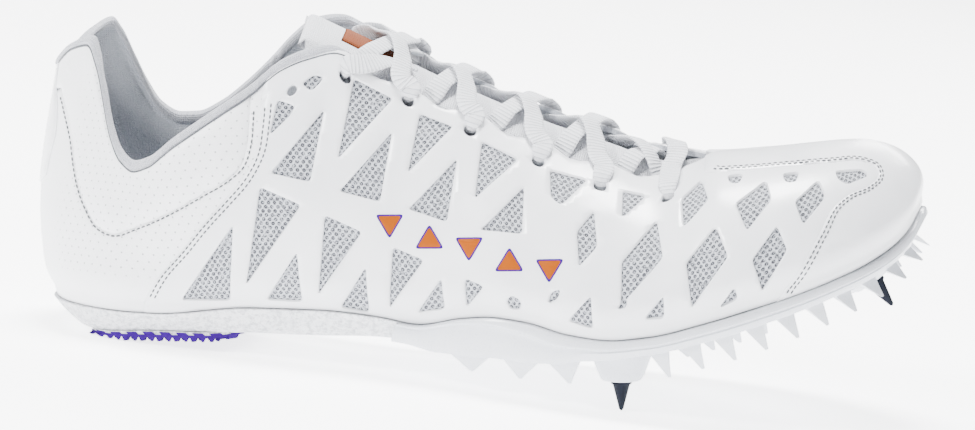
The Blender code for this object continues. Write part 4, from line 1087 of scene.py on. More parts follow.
def eyelet_ring(side, centre, radius):
    ahead = SURFACE.at(side, centre[0] + NET_STEP, centre[1])[0]
    behind = SURFACE.at(side, centre[0] - NET_STEP, centre[1])[0]
    per_station = np.linalg.norm(ahead - behind) / (2 * NET_STEP)
    length = float(SURFACE.span(side, centre[0], 1.0)[1])
    turn = np.linspace(0, 2 * math.pi, EYELET_SIDES, endpoint=False)
    u = centre[0] + radius * np.cos(turn) / per_station
    v = centre[1] + radius * np.sin(turn) / length
    return np.stack((u, v), -1) * SHEET


def eyelet_rings(side):
    centres = [eyelet_centre(side, number) for number in range(len(EYELETS))]
    spare = SURFACE.places([SPARE_EYELET])[0]
    rings = [eyelet_ring(side, centre, EYELET_RADIUS) for centre in centres]
    return rings + [eyelet_ring(side, spare, SPARE_EYELET_SHARE * EYELET_RADIUS)]


def build_shell():
    """Mesh outside and lining inside, as one shell."""
    edge = throat_edge()
    outline = np.concatenate((
        run_to(HEEL_FOOT, TOE_FOOT, 2.0), run_to(TOE_FOOT, TOE_RIM),
        run_to(TOE_RIM, (RIDGE_STATION * SHEET[0], SHEET[1])), edge[:-1],
        run_to(edge[-1], HEEL_RIM), run_to(HEEL_RIM, HEEL_FOOT),
    ))
    pieces = [(side, *cut_sheet(outline, eyelet_rings(side))) for side in SIDES]

    def lining(u, v):
        padding = fade((0.34 - u) / 0.08) * fade((v - 0.40) / 0.25) * fade((1.0 - v) / 0.26)
        return -(1.7 + 3.2 * padding) * MM

    thing = skin(
        "upper_shell", pieces, -UPPER_WALL, 0.0, [MATERIAL["mesh"], MATERIAL["lining"]],
        drop=0.1, lining=lining, wall_slot=1,
    )
    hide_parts("upper")


def both_sides(name, outline, low, high, paint):
    """The same skin on both sides, from one outline in the sheet."""
    pieces = [(side, *cut_sheet(outline, [])) for side in SIDES]
    return skin(name, pieces, low, high, [MATERIAL[paint]])


def build_skins():
    """Synthetic panels over the mesh, with their windows and eyelets."""
    windows = [chart_loop(chart) for chart in WINDOWS]
    lap = shifted(TOE_LINE, 2.2)
    lap[0, 1] = 0.0
    top = SHEET[1] - 0.6
    quarter = np.concatenate((
        run_to(HEEL_LINE[0], lap[0], 2.0), lap[:-1],
        run_to(lap[-1], (0.7 * SHEET[0], top)), throat_edge(0.5 * MM),
        run_to((0.355 * SHEET[0], top), HEEL_LINE[-1] - (0, 0.6)), HEEL_LINE[::-1][:-1],
    ))
    names = {LATERAL: "quarter_skin_lateral", MEDIAL: "quarter_skin_medial"}
    nodes = {LATERAL: "quarter_overlay_lateral", MEDIAL: "quarter_overlay_medial"}
    for side in SIDES:
        holes = windows + eyelet_rings(side)
        pieces = [(side, *cut_sheet(quarter, holes))]
        thing = skin(names[side], pieces, -0.1 * MM, QUARTER_TOP, [MATERIAL["synthetic"]])
        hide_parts(nodes[side])

    arm_top = (TOE_LINE[-1, 0], SHEET[1])
    toe = np.concatenate((
        TOE_LINE[:-1], run_to(TOE_LINE[-1], arm_top), run_to(arm_top, TOE_RIM),
        run_to(TOE_RIM, TOE_FOOT), run_to(TOE_FOOT, TOE_LINE[0], 2.0),
    ))
    thing = both_sides("toe_skin", toe, 0.5 * MM, TOE_TOP, "synthetic")
    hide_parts("toe_overlay")

    heel_lap = HEEL_LINE + (2.0, 0)
    counter = np.concatenate((
        run_to(HEEL_FOOT, heel_lap[0], 2.0), heel_lap[:-1],
        run_to(heel_lap[-1], COLLAR_LINE[-1]), COLLAR_LINE[::-1][:-1], run_to(COLLAR_LINE[0], HEEL_FOOT),
    ))
    thing = both_sides("heel_skin", counter, -0.1 * MM, 0.4 * MM, "panel")
    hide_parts("heel_counter")

    collar = np.concatenate((
        COLLAR_LINE[:-1], run_to(COLLAR_LINE[-1], HEEL_RIM), run_to(HEEL_RIM, COLLAR_LINE[0]),
    ))
    thing = both_sides("collar_panel", collar, -0.1 * MM, 0.65 * MM, "panel")

    edge = chart_line(HEEL_STRIP)
    edge[0, 1] = SHEET[1] - 1.0
    strip_low, strip_high = (0, edge[-1, 1] - 2.0), (0, SHEET[1] - 1.0)
    strip = np.concatenate((
        edge[:-1], run_to(edge[-1], strip_low), run_to(strip_low, strip_high), run_to(strip_high, edge[0]),
    ))
    thing = both_sides("heel_strip", strip, 0.4 * MM, 1.05 * MM, "synthetic")


def build_accents():
    """A plain row of printed triangles with borders, every second one upside down."""
    low, high = QUARTER_TOP - 0.1 * MM, QUARTER_TOP + 0.22 * MM
    for number, (x, y) in enumerate(ACCENT_CENTRES, 1):
        wide, tall = ACCENT_SIZE[0] / 2, ACCENT_SIZE[1] / 2 * (1 if number % 2 else -1)
        triangle = np.array(((x - wide, y - tall), (x + wide, y - tall), (x, y + tall)))
        border = chart_loop(moved(triangle, ACCENT_BORDER), 4.0, 2.5)
        inner = chart_loop(triangle, 3.0, 2.5)
        ring = [(LATERAL, *cut_sheet(border, [inner]))]
        thing = skin(f"accent_border_{number}", ring, low, high, [MATERIAL["accent_purple"]])
        face = [(LATERAL, *cut_sheet(inner, []))]
        thing = skin(f"accent_print_{number}", face, low, high, [MATERIAL["accent_orange"]])


STITCH_PITCH = 1.8 * MM
STITCH_HALF = 0.68 * MM
STITCH_RADIUS = 0.27 * MM
STITCH_SIDES = 6
STITCH_RINGS = ((-1.0, 0.35), (-0.6, 0.9), (0.0, 1.0), (0.6, 0.9), (1.0, 0.35))


def stitch_row(name, rows):
    """Short thread stitches along lines of the sheet, each a small rounded bar."""

    def read(field, where, along):
        return np.array([np.interp(where, along, field[:, c]) for c in range(3)])

    points, faces = [], []
    for side, line, height in rows:
        fine = denser(line, 0.4)
        point, normal = SURFACE.at(side, fine[:, 0] / SHEET[0], fine[:, 1] / SHEET[1])
        along = lengths_along(point)
        for where in np.arange(STITCH_PITCH, along[-1] - STITCH_PITCH, STITCH_PITCH):
            centre = read(point, where, along)
            out = unit(read(normal, where, along))
            run = unit(read(point, where + STITCH_HALF, along) - centre)
            wide = unit(np.cross(out, run))
            faces += tube_faces(len(STITCH_RINGS), STITCH_SIDES, len(points))
            for share, size in STITCH_RINGS:
                sink = 0.35 * share * share
                middle = centre + out * height + run * share * STITCH_HALF
                for k in range(STITCH_SIDES):
                    turn = 2 * math.pi * k / STITCH_SIDES
                    offset = wide * math.cos(turn) * 1.1 + out * (math.sin(turn) - sink)
                    points.append(middle + offset * STITCH_RADIUS * size)
    thing = add_mesh(name, points, faces, [MATERIAL["thread"]])


def build_stitches():
    heel, toe, collar = HEEL_LINE[2:-2], TOE_LINE[2:], COLLAR_LINE[2:-2]
    heel_rows, toe_rows, collar_rows = [], [], []
    for side in SIDES:
        for offset in (1.3, 2.9):
            heel_rows.append((side, shifted(heel, offset), QUARTER_TOP))
        for offset in (1.2, 2.8):
            toe_rows.append((side, shifted(toe, offset), TOE_TOP))
        collar_rows.append((side, shifted(collar, 1.2), 0.5 * MM))
    stitch_row("heel_stitches", heel_rows)
    stitch_row("toe_stitches", toe_rows)
    stitch_row("collar_stitches", collar_rows)


def sweep(name, rows, paint, segments=14, power=2.4):
    """A band along rows of centre, wide direction, thick direction, half width and half thickness."""
    centre, wide, thick = (np.array([row[k] for row in rows]) for k in range(3))
    sizes = np.array([row[3:5] for row in rows])
    along = lengths_along(centre) / MM
    turn = np.linspace(0, 2 * math.pi, segments, endpoint=False)
    cos, sin = np.cos(turn), np.sin(turn)
    x = np.sign(cos) * np.abs(cos) ** (2 / power)
    y = np.sign(sin) * np.abs(sin) ** (2 / power)
    points = (
        centre[:, None] + wide[:, None] * x[None, :, None] * sizes[:, 0, None, None]
        + thick[:, None] * y[None, :, None] * sizes[:, 1, None, None]
    )
    faces, uvs = [], []
    for i in range(len(rows) - 1):
        for k in range(segments):
            after = (k + 1) % segments
            a, b = i * segments, (i + 1) * segments
            faces.append((a + k, b + k, b + after, a + after))
            left, right = x[k] * sizes[i, 0] / MM, x[after] * sizes[i, 0] / MM
            uvs += [(along[i], left), (along[i + 1], left), (along[i + 1], right), (along[i], right)]
    last = (len(rows) - 1) * segments
    for loop, at in ((range(segments), 0), (range(segments - 1, -1, -1), last)):
        faces.append(tuple(at + k for k in loop))
        uvs += [(0.0, 0.0)] * segments
    return add_mesh(name, points.reshape(-1, 3), faces, [MATERIAL[paint]], uvs)


BINDING_HALF = 2.0 * MM
BINDING_THICK = 2.2 * MM
SHADOW_LINE_RADIUS = 0.42 * MM
BINDING_END = 0.425


def build_binding():
    """The rolled binding round the collar, from eyestay to eyestay by the heel, and a thin dark line under
    its lower edge that is a painted shadow of the groove there.
    """
    rows = []
    places = [(LATERAL, u) for u in np.linspace(BINDING_END, 0, 150)]
    places += [(MEDIAL, u) for u in np.linspace(0, BINDING_END, 150)[1:]]
    for side, u in places:
        rim, normal = SURFACE.at(side, u, 1.0)
        below, _ = SURFACE.at(side, u, 0.96)
        down = unit(below - rim)
        taper = 0.4 + 0.6 * float(fade((BINDING_END - u) / 0.04))
        back = 0.55 + 0.45 * float(fade((u - 0.05) / 0.06))
        centre = rim + down * (1.9 * back - 0.7) * MM - normal * 0.6 * MM
        rows.append((centre, down, normal, BINDING_HALF * taper * back, BINDING_THICK * taper))
    thing = sweep("collar_binding", rows, "binding", 20, 2.3)
    # A thin dark sweep in the thread's material along the binding's lower edge: painted shadow of the groove
    # between binding and panel, not a real cord.
    edge = []
    for centre, down, normal, half, thick in rows:
        place = centre + down * (half + 0.1 * MM) + normal * (1.2 * MM)
        edge.append((place, down, normal, SHADOW_LINE_RADIUS, SHADOW_LINE_RADIUS))
    thing = sweep("collar_shadow_line", edge, "thread", 8, 2.0)


def throat(station, across, lift):
    """A place on the arch over the throat, from the lateral edge, -1, to the medial one, 1."""
    left, left_out = SURFACE.at(LATERAL, station, 1.0)
    right, right_out = SURFACE.at(MEDIAL, station, 1.0)
    out = unit(left_out + right_out)
    crown = min(THROAT_CROWN, np.linalg.norm(right - left) * THROAT_CROWN_SHARE)
    point = left + (right - left) * (across + 1) / 2
    return point + out * (crown * (1 - across * across) + lift), out


LACE_HALF = 3.3 * MM
LACE_THICK = 0.62 * MM
# Share of the way from eyelet to edge, lift in millimetres, shares of the lace's width and thickness
LACE_OVER = ((0.00, -3.0, 0.46, 1.7), (0.00, 0.0, 0.60, 1.9), (0.16, 1.8, 0.88, 1.4), (0.55, 2.1, 1.0, 1.0))
LACE_UNDER = ((0.00, -2.9, 0.42, 1.7), (0.45, -2.9, 0.85, 1.1))


def eyelet_rows(side, number, over):
    """Guide points of a lace out of an eyelet to the eyestay's edge, over it or inside it."""
    station, rise = eyelet_centre(side, number)
    rise += 1.9 * MM / SURFACE.span(side, station, 1.0)[1]
    rows = []
    for share, lift, wide, thick in LACE_OVER if over else LACE_UNDER:
        point, out = SURFACE.at(side, station, rise + (1 - rise) * share)
        rows.append((point + out * lift * MM, out, LACE_HALF * wide, LACE_THICK * thick))
    return rows


def lace_band(name, guides):
    """A flat lace through guide rows of point, outward direction, half width and half thickness."""
    table = np.array([np.concatenate((point, out, (wide, thick))) for point, out, wide, thick in guides])
    along = lengths_along(table[:, :3])
    where = np.linspace(0, along[-1], int(along[-1] / (0.7 * MM)) + 1)
    fine = np.stack([curve(along, table[:, column], where) for column in range(table.shape[1])], -1)
    run = unit(np.gradient(fine[:, :3], axis=0))
    side_way = np.cross(fine[:, 3:6], run)
    firm = np.linalg.norm(side_way, axis=1) > 0.75
    known = np.flatnonzero(firm)
    wide = np.stack([np.interp(np.arange(len(fine)), known, unit(side_way)[known, c]) for c in range(3)], -1)
    wide = unit(wide - run * np.sum(wide * run, axis=1, keepdims=True))
    thick = np.cross(run, wide)
    sizes = np.maximum(fine[:, 6:8], 0.0)
    rows = [(fine[k, :3], wide[k], thick[k], *sizes[k]) for k in range(len(fine))]
    thing = sweep(name, rows, "lace", 14, 3.0)
    return thing


def edge_row(side, station, lift):
    point, out = SURFACE.at(side, station, 1.0)
    return point + out * lift * MM, out, LACE_HALF, LACE_THICK


def throat_row(station, across, lift):
    point, out = throat(station, across, lift * MM)
    return point, out, LACE_HALF, LACE_THICK


def between(start, end, share):
    return start + (end - start) * share


def build_laces():
    """The bar at the throat's front, the crossings above it, and the two ends going in."""
    first = EYELET_STATIONS[0]
    words = {LATERAL: "lateral", MEDIAL: "medial"}
    bar = eyelet_rows(LATERAL, 0, True) + [edge_row(LATERAL, first, 2.1)]
    bar += [throat_row(first + 0.004, across, 1.6) for across in (-0.4, 0.4)]
    bar += [edge_row(MEDIAL, first, 2.1)] + eyelet_rows(MEDIAL, 0, True)[::-1]
    lace_band("lace_bar", bar)
    for number in range(1, len(EYELETS)):
        here, after = EYELET_STATIONS[number - 1], EYELET_STATIONS[number]
        for side in SIDES:
            over = number > 1
            top = 1.6 if side == LATERAL else 0.2
            if not over:
                top = -0.9 if side == LATERAL else -2.2
            guides = eyelet_rows(side, number - 1, over)
            guides.append(edge_row(side, between(here, after, 0.14), 2.1 if over else -2.9))
            guides.append(throat_row(between(here, after, 0.28), side * 0.5, 1.5 if over else -1.8))
            guides.append(throat_row(between(here, after, 0.44), 0.0, top))
            guides.append(throat_row(between(here, after, 0.60), -side * 0.45, -1.0))
            guides.append(edge_row(-side, between(here, after, 0.76), -3.2))
            guides += eyelet_rows(-side, number, False)[::-1]
            thing = lace_band(f"lace_{number}_{words[side]}", guides)
            if side == LATERAL:
                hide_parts(f"lace_crossing_{number}")
    last, before = EYELET_STATIONS[-1], EYELET_STATIONS[-2]
    for side in SIDES:
        guides = eyelet_rows(side, len(EYELETS) - 1, True)[:3]
        point, out = SURFACE.at(side, between(last, before, 0.30), 0.97)
        guides.append((point + out * 2.2 * MM, out, LACE_HALF, LACE_THICK))
        guides.append(throat_row(between(last, before, 0.62), side * 0.72, 0.6))
        guides.append(throat_row(between(last, before, 0.95), side * 0.35, -1.6))
        lace_band("lace_end_" + words[side], guides)


def pad(name, grid, normals, thickness, edge, paint):
    """A soft piece with rounded edges: a grid of points under its top face, with a thickness."""
    rows, columns = grid.shape[:2]
    across = lengths_along(grid[rows // 2])
    down = lengths_along(grid[:, columns // 2])
    gap_across = np.minimum(across, across[-1] - across)
    gap_down = np.minimum(down, down[-1] - down)
    gap = np.minimum(gap_across[None, :], gap_down[:, None])
    full = np.sqrt(np.clip(1 - (1 - np.clip(gap / edge, 0, 1)) ** 2, 0, 1))
    half = thickness / 2 * full
    middle = grid - normals * (thickness / 2)[..., None]
    top = middle + normals * half[..., None]
    bottom = middle - normals * half[..., None]
    count = rows * columns
    points = np.concatenate((top.reshape(-1, 3), bottom.reshape(-1, 3)))
    lengths = np.stack(np.meshgrid(down, across, indexing="ij"), -1).reshape(-1, 2) / MM
    lengths = np.concatenate((lengths, lengths))
    faces = []
    for i in range(rows - 1):
        for j in range(columns - 1):
            a = i * columns + j
            quad = (a, a + columns, a + columns + 1, a + 1)
            faces += [quad, tuple(count + k for k in quad[::-1])]
    place, kept = merged(points)
    faces, corner = without_doubles(faces, [lengths[k] for face in faces for k in face], place)
    thing = add_mesh(name, points[kept], faces, [MATERIAL[paint]], corner)
    return thing


def softened(grid, rounds):
    for _ in range(rounds):
        inner = (grid[:-2, 1:-1] + grid[2:, 1:-1] + grid[1:-1, :-2] + grid[1:-1, 2:]) / 4
        grid[1:-1, 1:-1] = inner
    return grid


# The tongue: its two ends along the upper, the share of its half width that shows in the throat,
# and how far down the upper its sides reach
TONGUE_ENDS = (0.712, 0.405)
TONGUE_OPEN = 0.45
TONGUE_REACH = 0.26
TONGUE_FRONT_DROP = 2.3
PATCH_ROWS = slice(-29, -14)
PATCH_COLUMNS = slice(23, 42)


def tongue_drop(station, a):
    """How deep the tongue lies at a share of its half width, in millimetres under the outer face."""
    drop = 3.4 + 2.4 * float(fade((a + 0.1) / 0.45)) + 0.6 * float(fade((-a - 0.1) / 0.4))
    front = float(fade((station - 0.64) / 0.045))
    drop += (TONGUE_FRONT_DROP - drop) * front
    in_opening = float(fade((0.40 - abs(a)) / 0.30)) * float(fade((RIDGE_STATION - station) / 0.008))
    return drop - 1.5 * front * in_opening


def build_tongue():
    """The padded tongue under the eyestays, its free top, and the plain patch on it."""
    across = np.linspace(-1, 1, 61)
    stations = np.linspace(*TONGUE_ENDS, 100)
    grid, outs = [], []
    for station in stations:
        row, ways = [], []
        for a in across:
            if abs(a) > TONGUE_OPEN:
                v = 1.0 - TONGUE_REACH * (abs(a) - TONGUE_OPEN) / (1 - TONGUE_OPEN)
                point, out = SURFACE.at(LATERAL if a < 0 else MEDIAL, station, v)
            else:
                point, out = throat(station, a / TONGUE_OPEN, 0.0)
            row.append(point - out * tongue_drop(station, a) * MM)
            ways.append(out)
        grid.append(row)
        outs.append(ways)
    grid, outs = np.array(grid), unit(np.array(outs))
    middle = len(across) // 2
    step = unit(grid[-1, middle] - grid[-10, middle])
    free = []
    shares = np.linspace(0, 1, 15)[1:]
    for share in shares:
        row = grid[-1] + step * share * TONGUE_FREE_LENGTH
        row[:, 1] += (row[middle, 1] - row[:, 1]) * 0.2 * share ** 1.5
        row = row - step * (np.abs(across) ** 3)[:, None] * share * 3.0 * MM
        free.append(row)
    grid = np.concatenate((grid, np.array(free)))
    outs = np.concatenate((outs, np.repeat(outs[-1:], len(shares), 0)))
    grid = softened(grid, 10)
    outs = unit(softened(outs, 16))
    rows = np.arange(len(grid)) / (len(grid) - 1)
    thickness = (2.6 + 1.6 * fade((rows - 0.80) / 0.12))[:, None] * MM * np.ones(grid.shape[:2])
    thing = pad("tongue_pad", grid, outs, thickness, 3.0 * MM, "tongue")
    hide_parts("tongue")
    ways = outs[PATCH_ROWS, PATCH_COLUMNS]
    patch = grid[PATCH_ROWS, PATCH_COLUMNS] + ways * 0.45 * MM
    thing = pad("tongue_patch", patch, ways, np.full(patch.shape[:2], 0.7 * MM), 0.4 * MM, "label")
    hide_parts("tongue_label")


def ridge_power(along):
    """How far the side's lines gather under the feather line: most at the waist, none at the ball."""
    return 1 + 1.6 * fade((0.64 - along / LAST_LENGTH) / 0.16)


def sole_ring(stations, push, share):
    points = []
    for side, order in ((LATERAL, stations), (MEDIAL, stations[::-1])):
        foot = feather_points(side, order)
        away = outward(side, order)
        joint = (order > 0) & (order < 1) & ((order == stations[0]) | (order == stations[-1]))
        away[joint] = (0, side, 0)
        foot = foot + away * push
        plain = feather_points(side, order)[:, 0]
        top = feather_height(plain)
        foot[:, 2] = top + (sole_bottom(plain) - top) * share ** ridge_power(plain)
        points.append(foot)
    return np.concatenate(points)


def sole_body(name, profile, ends, paint, node):
    """A sole piece from a side profile of depth share and push, between two places along the last."""
    count = 180
    rings = []
    for share, push in profile:
        start, end = ends(share)
        stations = start + (end - start) * (1 - np.cos(np.linspace(0, math.pi, count))) / 2
        rings.append(sole_ring(stations, SOLE_LIP * push, share))
    size = 2 * count
    points = np.concatenate(rings)
    along = lengths_along(rings[0]) / MM
    faces, uvs = [], []
    for level in range(len(rings) - 1):
        for k in range(size):
            after = (k + 1) % size
            a, b = level * size, (level + 1) * size
            faces.append((a + k, b + k, b + after, a + after))
            deep = (profile[level][0] * 10, profile[level + 1][0] * 10)
            here, there = along[k], along[after] if after else along[k] + 1
            uvs += [(here, deep[0]), (here, deep[1]), (there, deep[1]), (there, deep[0])]
    for level in (0, len(rings) - 1):
        first = level * size
        for k in range(count - 1):
            rung = (first + k, first + k + 1, first + size - 2 - k, first + size - 1 - k)
            faces.append(rung if level == 0 else rung[::-1])
            uvs += [(points[e][0] / MM, points[e][1] / MM) for e in faces[-1]]
    place, kept = merged(points)
    clean, corner = without_doubles(faces, uvs, place, turned_over=True)
    thing = add_mesh(name, points[kept], clean, [MATERIAL[paint]], corner, angle=40)
    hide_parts(node)
    return thing


def plate_slope(along):
    step = 0.002
    return math.atan2(float(sole_bottom(along + step)) - float(sole_bottom(along - step)), 2 * step)


def edge_frame(side, station, inset):
    away = outward(side, station)[0]
    point = feather_points(side, station)[0] - away * inset
    point[2] = float(sole_bottom(point[0]))
    run = unit(feather_points(side, station + NET_STEP)[0] - feather_points(side, station - NET_STEP)[0])
    slope = plate_slope(min(point[0], SLOPE_LIMIT * LAST_LENGTH))
    run = unit(np.array((run[0], run[1], run[0] * math.tan(slope))))
    return point, run, -away, np.array((math.sin(slope), 0.0, -math.cos(slope)))


def tooth(base, run, inward, down, length, height, lean):
    root = base - down * TOOTH_ROOT
    half, side = run * length / 2, inward * TOOTH_WIDTH / 2
    corners = [root - half - side, root + half - side, root + half + side, root - half + side]
    tip = base + down * height + run * lean * length
    tips = [tip - run * TOOTH_TIP, tip + run * TOOTH_TIP, tip + inward * TOOTH_TIP]
    return corners + tips


def plate_teeth():
    teeth = []
    boss_edge = REAR_SPIKE_ALONG + BOSS_TOP_RADIUS
    for side in SIDES:
        for along, length, height in WIDE_TEETH:
            place = edge_frame(side, station_of(along * LAST_LENGTH), TOOTH_WIDTH / 2)
            teeth.append(tooth(*place, length * TOOTH_LENGTH, height * TOOTH_HEIGHT, 0.0))
        station = station_of(boss_edge + TOOTH_LENGTH / 2)
        while station < LAST_TOOTH_STATION:
            point, run, inward, down = edge_frame(side, station, TOOTH_WIDTH / 2)
            turn = min(max((station - SPLAY_START_STATION) / (1 - SPLAY_START_STATION), 0.0), 1.0)
            splay = TOOTH_SPLAY + (TOE_TOOTH_SPLAY - TOOTH_SPLAY) * turn
            aim = unit(down * math.cos(splay) - inward * math.sin(splay))
            height = TOOTH_HEIGHT * (1 + (TOE_TOOTH_SHARE - 1) * turn)
            teeth.append(tooth(point, run, inward, aim, TOOTH_LENGTH, height, TOOTH_LEAN))
            here = feather_points(side, station)[0]
            while np.linalg.norm(feather_points(side, station)[0] - here) < TOOTH_PITCH and station < 1:
                station += 0.001
        for k in range(INNER_TEETH):
            place = edge_frame(side, station_of(boss_edge + TOOTH_PITCH * (k + 0.8)), INNER_ROW_INSET)
            teeth.append(tooth(*place, TOOTH_LENGTH, TOOTH_HEIGHT * INNER_TOOTH_SHARE, TOOTH_LEAN))
    return teeth


def bevelled(thing, width):
    modifier = thing.modifiers.new("edges", "BEVEL")
    modifier.width = width
    modifier.segments = 2
    modifier.limit_method = "ANGLE"
    return thing


def turned(name, rows, place, paint):
    """A solid of revolution from rows of radius and height, on a place's own axis."""
    segments = 40
    points = []
    for radius, height in rows:
        for k in range(segments):
            turn = 2 * math.pi * k / segments
            points.append(place @ Vector((radius * math.cos(turn), radius * math.sin(turn), height)))
    faces = tube_faces(len(rows), segments)
    thing = add_mesh(name, [tuple(point) for point in points], faces, [MATERIAL[paint]], angle=35)
    return thing


# Side profiles: share of the sole's depth, and push outward in shares of the sole's lip
FOAM_SIDE = (
    (0.00, 0.10), (0.03, 0.36), (0.12, 0.56), (0.24, 0.62), (0.40, 0.46), (0.55, 0.20), (0.70, -0.20),
    (0.82, -0.75), (0.92, -1.40), (0.98, -2.00), (1.00, -2.50),
)
PLATE_SIDE = (
    (0.00, 0.20), (0.03, 0.85), (0.08, 1.05), (0.20, 1.15), (0.34, 1.32), (0.40, 1.30), (0.44, 1.05),
    (0.48, 0.78), (0.54, 0.72), (0.62, 0.86), (0.90, 0.62), (0.97, 0.45), (1.00, 0.15),
)
TOOTH_FACES = ((0, 1, 2, 3), (0, 4, 5, 1), (1, 5, 6, 2), (2, 6, 3), (3, 6, 4, 0), (4, 6, 5))


def build_sole():
    """Foam wedge, and spike plate with its teeth, bosses and spikes."""

    def foam_ends(share):
        return 0.0, station_of(PLATE_START - SEAT_GAP - PLATE_START_SLANT * share)

    sole_body("foam_wedge", FOAM_SIDE, foam_ends, "foam", "midsole")

    def plate_ends(share):
        return station_of(PLATE_START - PLATE_START_SLANT * share), 1.0

    sole_body("plate_body", PLATE_SIDE, plate_ends, "plate", "spike_plate")
    points, faces = [], []
    for corners in plate_teeth():
        start = len(points)
        points += corners
        faces += [tuple(start + k for k in face) for face in TOOTH_FACES]
    thing = add_mesh("plate_teeth", points, faces, [MATERIAL["plate"]], angle=30)
    bevelled(thing, 0.35 * MM)

    for side, word in ((LATERAL, "lateral"), (MEDIAL, "medial")):
        rear = Vector((REAR_SPIKE_ALONG, side * REAR_SPIKE_ACROSS, float(sole_bottom(REAR_SPIKE_ALONG))))
        along = FRONT_SPIKE_ALONG - (MEDIAL_SPIKE_SET_BACK if side == MEDIAL else 0.0)
        middle = float(centre_line(along)) + side * FRONT_SPIKE_ACROSS
        front = Vector((along, middle, float(sole_bottom(along))))
        tilt = Matrix.Rotation(-FRONT_SPIKE_TILT, 4, "Y")
        for row, place, height in (
            ("rear", Matrix.Translation(rear), REAR_BOSS_HEIGHT),
            ("front", Matrix.Translation(front) @ tilt, FRONT_BOSS_HEIGHT),
        ):
            end, top = BOSS_END_RADIUS, BOSS_TOP_RADIUS
            boss = (
                (0.5 * end, -height), (end - 0.4 * MM, -height), (end, -height + 0.4 * MM),
                (0.6 * end + 0.4 * top, -0.62 * height), (0.3 * end + 0.7 * top, -0.30 * height),
                (top, 0.0), (top, BOSS_ROOT),
            )
            turned(f"boss_{row}_{word}", boss, place, "plate")
            seat = -height - BORE_CLEARANCE
            flange = seat - SPIKE_FLANGE_HEIGHT
            tip = flange - SPIKE_LENGTH
            spike = (
                (0.3 * SPIKE_TIP_RADIUS, tip), (SPIKE_TIP_RADIUS, tip + 0.5 * MM),
                (SPIKE_RADIUS, flange - 0.5 * MM), (SPIKE_RADIUS + 0.2 * MM, flange),
                (SPIKE_FLANGE_RADIUS - 0.2 * MM, flange),
                (SPIKE_FLANGE_RADIUS, flange + 0.25 * MM), (SPIKE_FLANGE_RADIUS, seat - 0.2 * MM),
                (SPIKE_FLANGE_RADIUS - 0.3 * MM, seat), (SPIKE_RADIUS - 0.8 * MM, seat + 2 * MM),
            )
            thing = turned(f"pin_{row}_{word}", spike, place, "spike")
            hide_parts(f"spike_{row}_{word}")


TREAD_BASE = 0.7 * MM
TREAD_LINK_PITCH = 5.4 * MM
TREAD_LINK_LENGTH = 3.3 * MM
TREAD_LINK_LEAN = 1.2 * MM
TREAD_BAR_PITCH = 2.75 * MM
TREAD_WAVE = 1.1 * MM
TREAD_WAVE_LENGTH = 9.0 * MM
TREAD_BAR_STEPS = 46
# Cross section of a bar: place along in millimetres, share of its height
TREAD_BAR_SECTION = ((-1.1, 0.0), (-0.35, 1.0), (0.35, 1.0), (1.1, 0.0))


